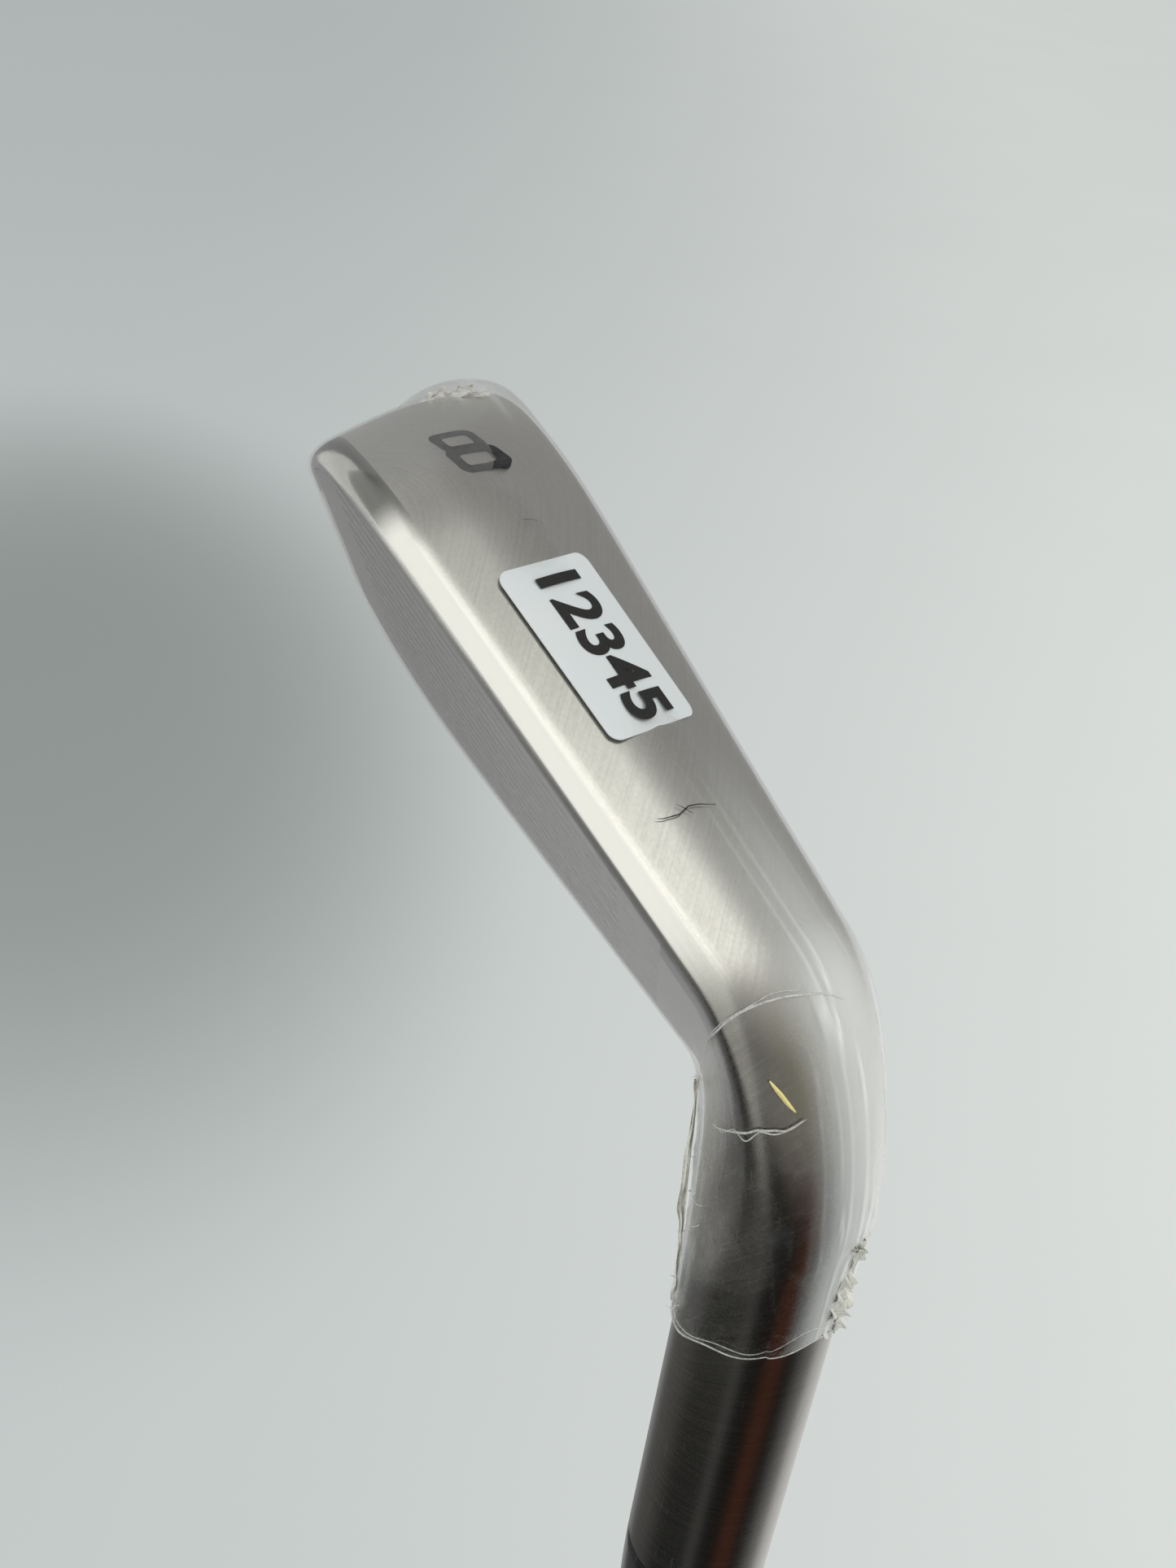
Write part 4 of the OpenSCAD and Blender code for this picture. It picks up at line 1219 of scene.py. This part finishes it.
def stage_floor():
    """A wide pale floor under the butt, with painted light that makes it lighter to one side, and one broad
    soft patch of painted shadow.
    """
    bpy.ops.mesh.primitive_plane_add(size=FLOOR_SIZE, location=(0, 0, cad_box[0].z - 0.0005))
    floor = bpy.context.object
    floor.name = "floor"
    f = Finish("floor_paint")
    x, y, _ = f.split(f.place())
    dx, dy = x + 1.40, y - 0.68
    long_way, short_way = (dx * -0.866 + dy * 0.5) / 0.95, (dx * 0.5 + dy * 0.866) / 0.55
    # painted shadow: one broad soft dark patch on the floor
    floor_shadow_patch = (long_way ** 2 + short_way ** 2).rise(0.0, 1.0, 1, 0) ** 1.3
    grain = f.noise(f.place(), 3, 3, 0.5)
    # painted light: the floor lightens towards one side
    side = (x * 0.69 + y * 0.72).rise(-0.7, 1.5)
    tone = f.layers((0.64, 0.665, 0.66, 1),
                    (side, (0.93, 0.94, 0.915, 1)),
                    (grain * 0.08, (0.5, 0.5, 0.5, 1)),
                    (floor_shadow_patch * 0.8, (0.27, 0.295, 0.28, 1)))
    dress(floor, f.done(f.surface({"Base Color": tone, "Roughness": 0.95, "Specular IOR Level": 0.0})))
    floor.visible_glossy = False


def light_tent():
    """Ball of studio surround that only reflections see. It is painted by direction: a lit side, a dark
    quarter on the viewer's side with one warm brown strip in it, and paler parts to both sides of that."""
    bpy.ops.mesh.primitive_uv_sphere_add(segments=64, ring_count=32, radius=1.0)
    tent = bpy.context.object
    tent.name = "light_tent"
    tent.data.transform(Matrix.Translation((0, 0, HOSEL_END * MM)) @ Matrix.Scale(TENT_R, 4))
    for ray_kind in ("camera", "diffuse", "transmission", "volume_scatter", "shadow"):
        setattr(tent, "visible_" + ray_kind, False)
    f = Finish("tent_light")
    x, y, z = f.split(f.node("ShaderNodeMapping", None, {
        "Vector": f.node("ShaderNodeTexCoord", out="Object"), "Location": (0, 0, -HOSEL_END * MM / TENT_R),
        "Scale": (1 / TENT_R, 1 / TENT_R, 1 / TENT_R)}))
    turn = f.node("ShaderNodeMath", {"operation": "ARCTAN2"}, {0: y, 1: x}) * (180 / math.pi)
    # degrees round from the viewer's side, towards +X and then +Y
    side = (turn + 48 + 540).math("MODULO", turn + 48 + 540, 360) - 180
    lift = z.math("ARCSINE", z) * (180 / math.pi)
    # the lit part starts below the horizon from -144 to -30 degrees, and high up everywhere else
    start = side.rise(-152, -144, 93, 0) + side.rise(-30, 55, 0, 92) + side.rise(108, 140, 0, 12) - 38
    lit = (lift - start).rise(-7, 9)
    level = f.layers(grey(0.55, 0.02),
                     (side.rise(95, 135), grey(0.30, 0.01)),
                     (side.rise(-130, -152), grey(0.34)))
    low = f.layers(
        grey(0.02),
        (side.rise(60, 90), grey(0.36, 0.01)),
        (side.rise(94, 108), grey(1.05, 0.01)),
        (side.band(22, 46, 5), WARM_BROWN),
        (side.band(-24, -10, 5), grey(0.17)),
        (side.rise(-66, -112), grey(0.16, 0.01)),
        (side.rise(-140, -156), grey(0.42)),
        (side.rise(150, 165), grey(0.6)))
    shade = f.mix(lift.rise(-32, -8), low, level)
    lamp = f.layers((1.12, 1.12, 1.06, 1),
                    (side.rise(20, 85), (1.6, 1.59, 1.48, 1)),
                    (side.rise(116, 140), (0.66, 0.66, 0.62, 1)))
    colour = f.mix(lit, shade, lamp)
    f.done(f.node("ShaderNodeEmission", None, {"Color": colour, "Strength": 1.0}))
    dress(tent, f.data)


def area_light(name, place, target, size, power, colour=(1, 1, 1)):
    data = bpy.data.lights.new(name, "AREA")
    data.size, data.energy, data.color = size, power, colour
    light = bpy.data.objects.new(name, data)
    light.location = place
    light.rotation_euler = (Vector(target) - Vector(place)).to_track_quat("-Z", "Y").to_euler()
    light.visible_glossy = False
    bpy.context.scene.collection.objects.link(light)


def studio():
    stage_floor()
    light_tent()
    world = bpy.data.worlds.new("studio")
    bpy.context.scene.world = world
    f = Finish("studio", world)
    sky = f.node("ShaderNodeBackground", None, {"Color": (0.80, 0.83, 0.83, 1), "Strength": 0.82})
    f.node("ShaderNodeOutputWorld", None, {"Surface": sky})
    area_light("key", (1.4, 1.6, 2.6), (0, 0, 0.6), 1.8, 24, (1, 0.985, 0.95))
    area_light("fill", (-1.8, -1.2, 2.2), (0, 0, 0.6), 2.2, 8, (0.95, 0.98, 1))


def camera():
    """Close above the heel end, looking down the club, with the view's own roll."""
    ground = GROUND * MM
    place = Vector((0.05208, -0.08867, ground + 0.08564))
    look = Vector((-0.5549, 0.6213, -0.5533)).normalized()
    up = Vector((-0.4679, 0.3168, 0.8250))
    right = look.cross(up).normalized()
    up = right.cross(look)
    data = bpy.data.cameras.new("camera")
    data.lens, data.clip_start, data.clip_end = 40.33, 0.01, 60
    seen = bpy.data.objects.new("camera", data)
    seen.matrix_world = Matrix.Translation(place) @ Matrix((right, up, -look)).transposed().to_4x4()
    bpy.context.scene.collection.objects.link(seen)
    bpy.context.scene.camera = seen


camera()
studio()
bpy.context.scene.view_settings.view_transform = "Standard"
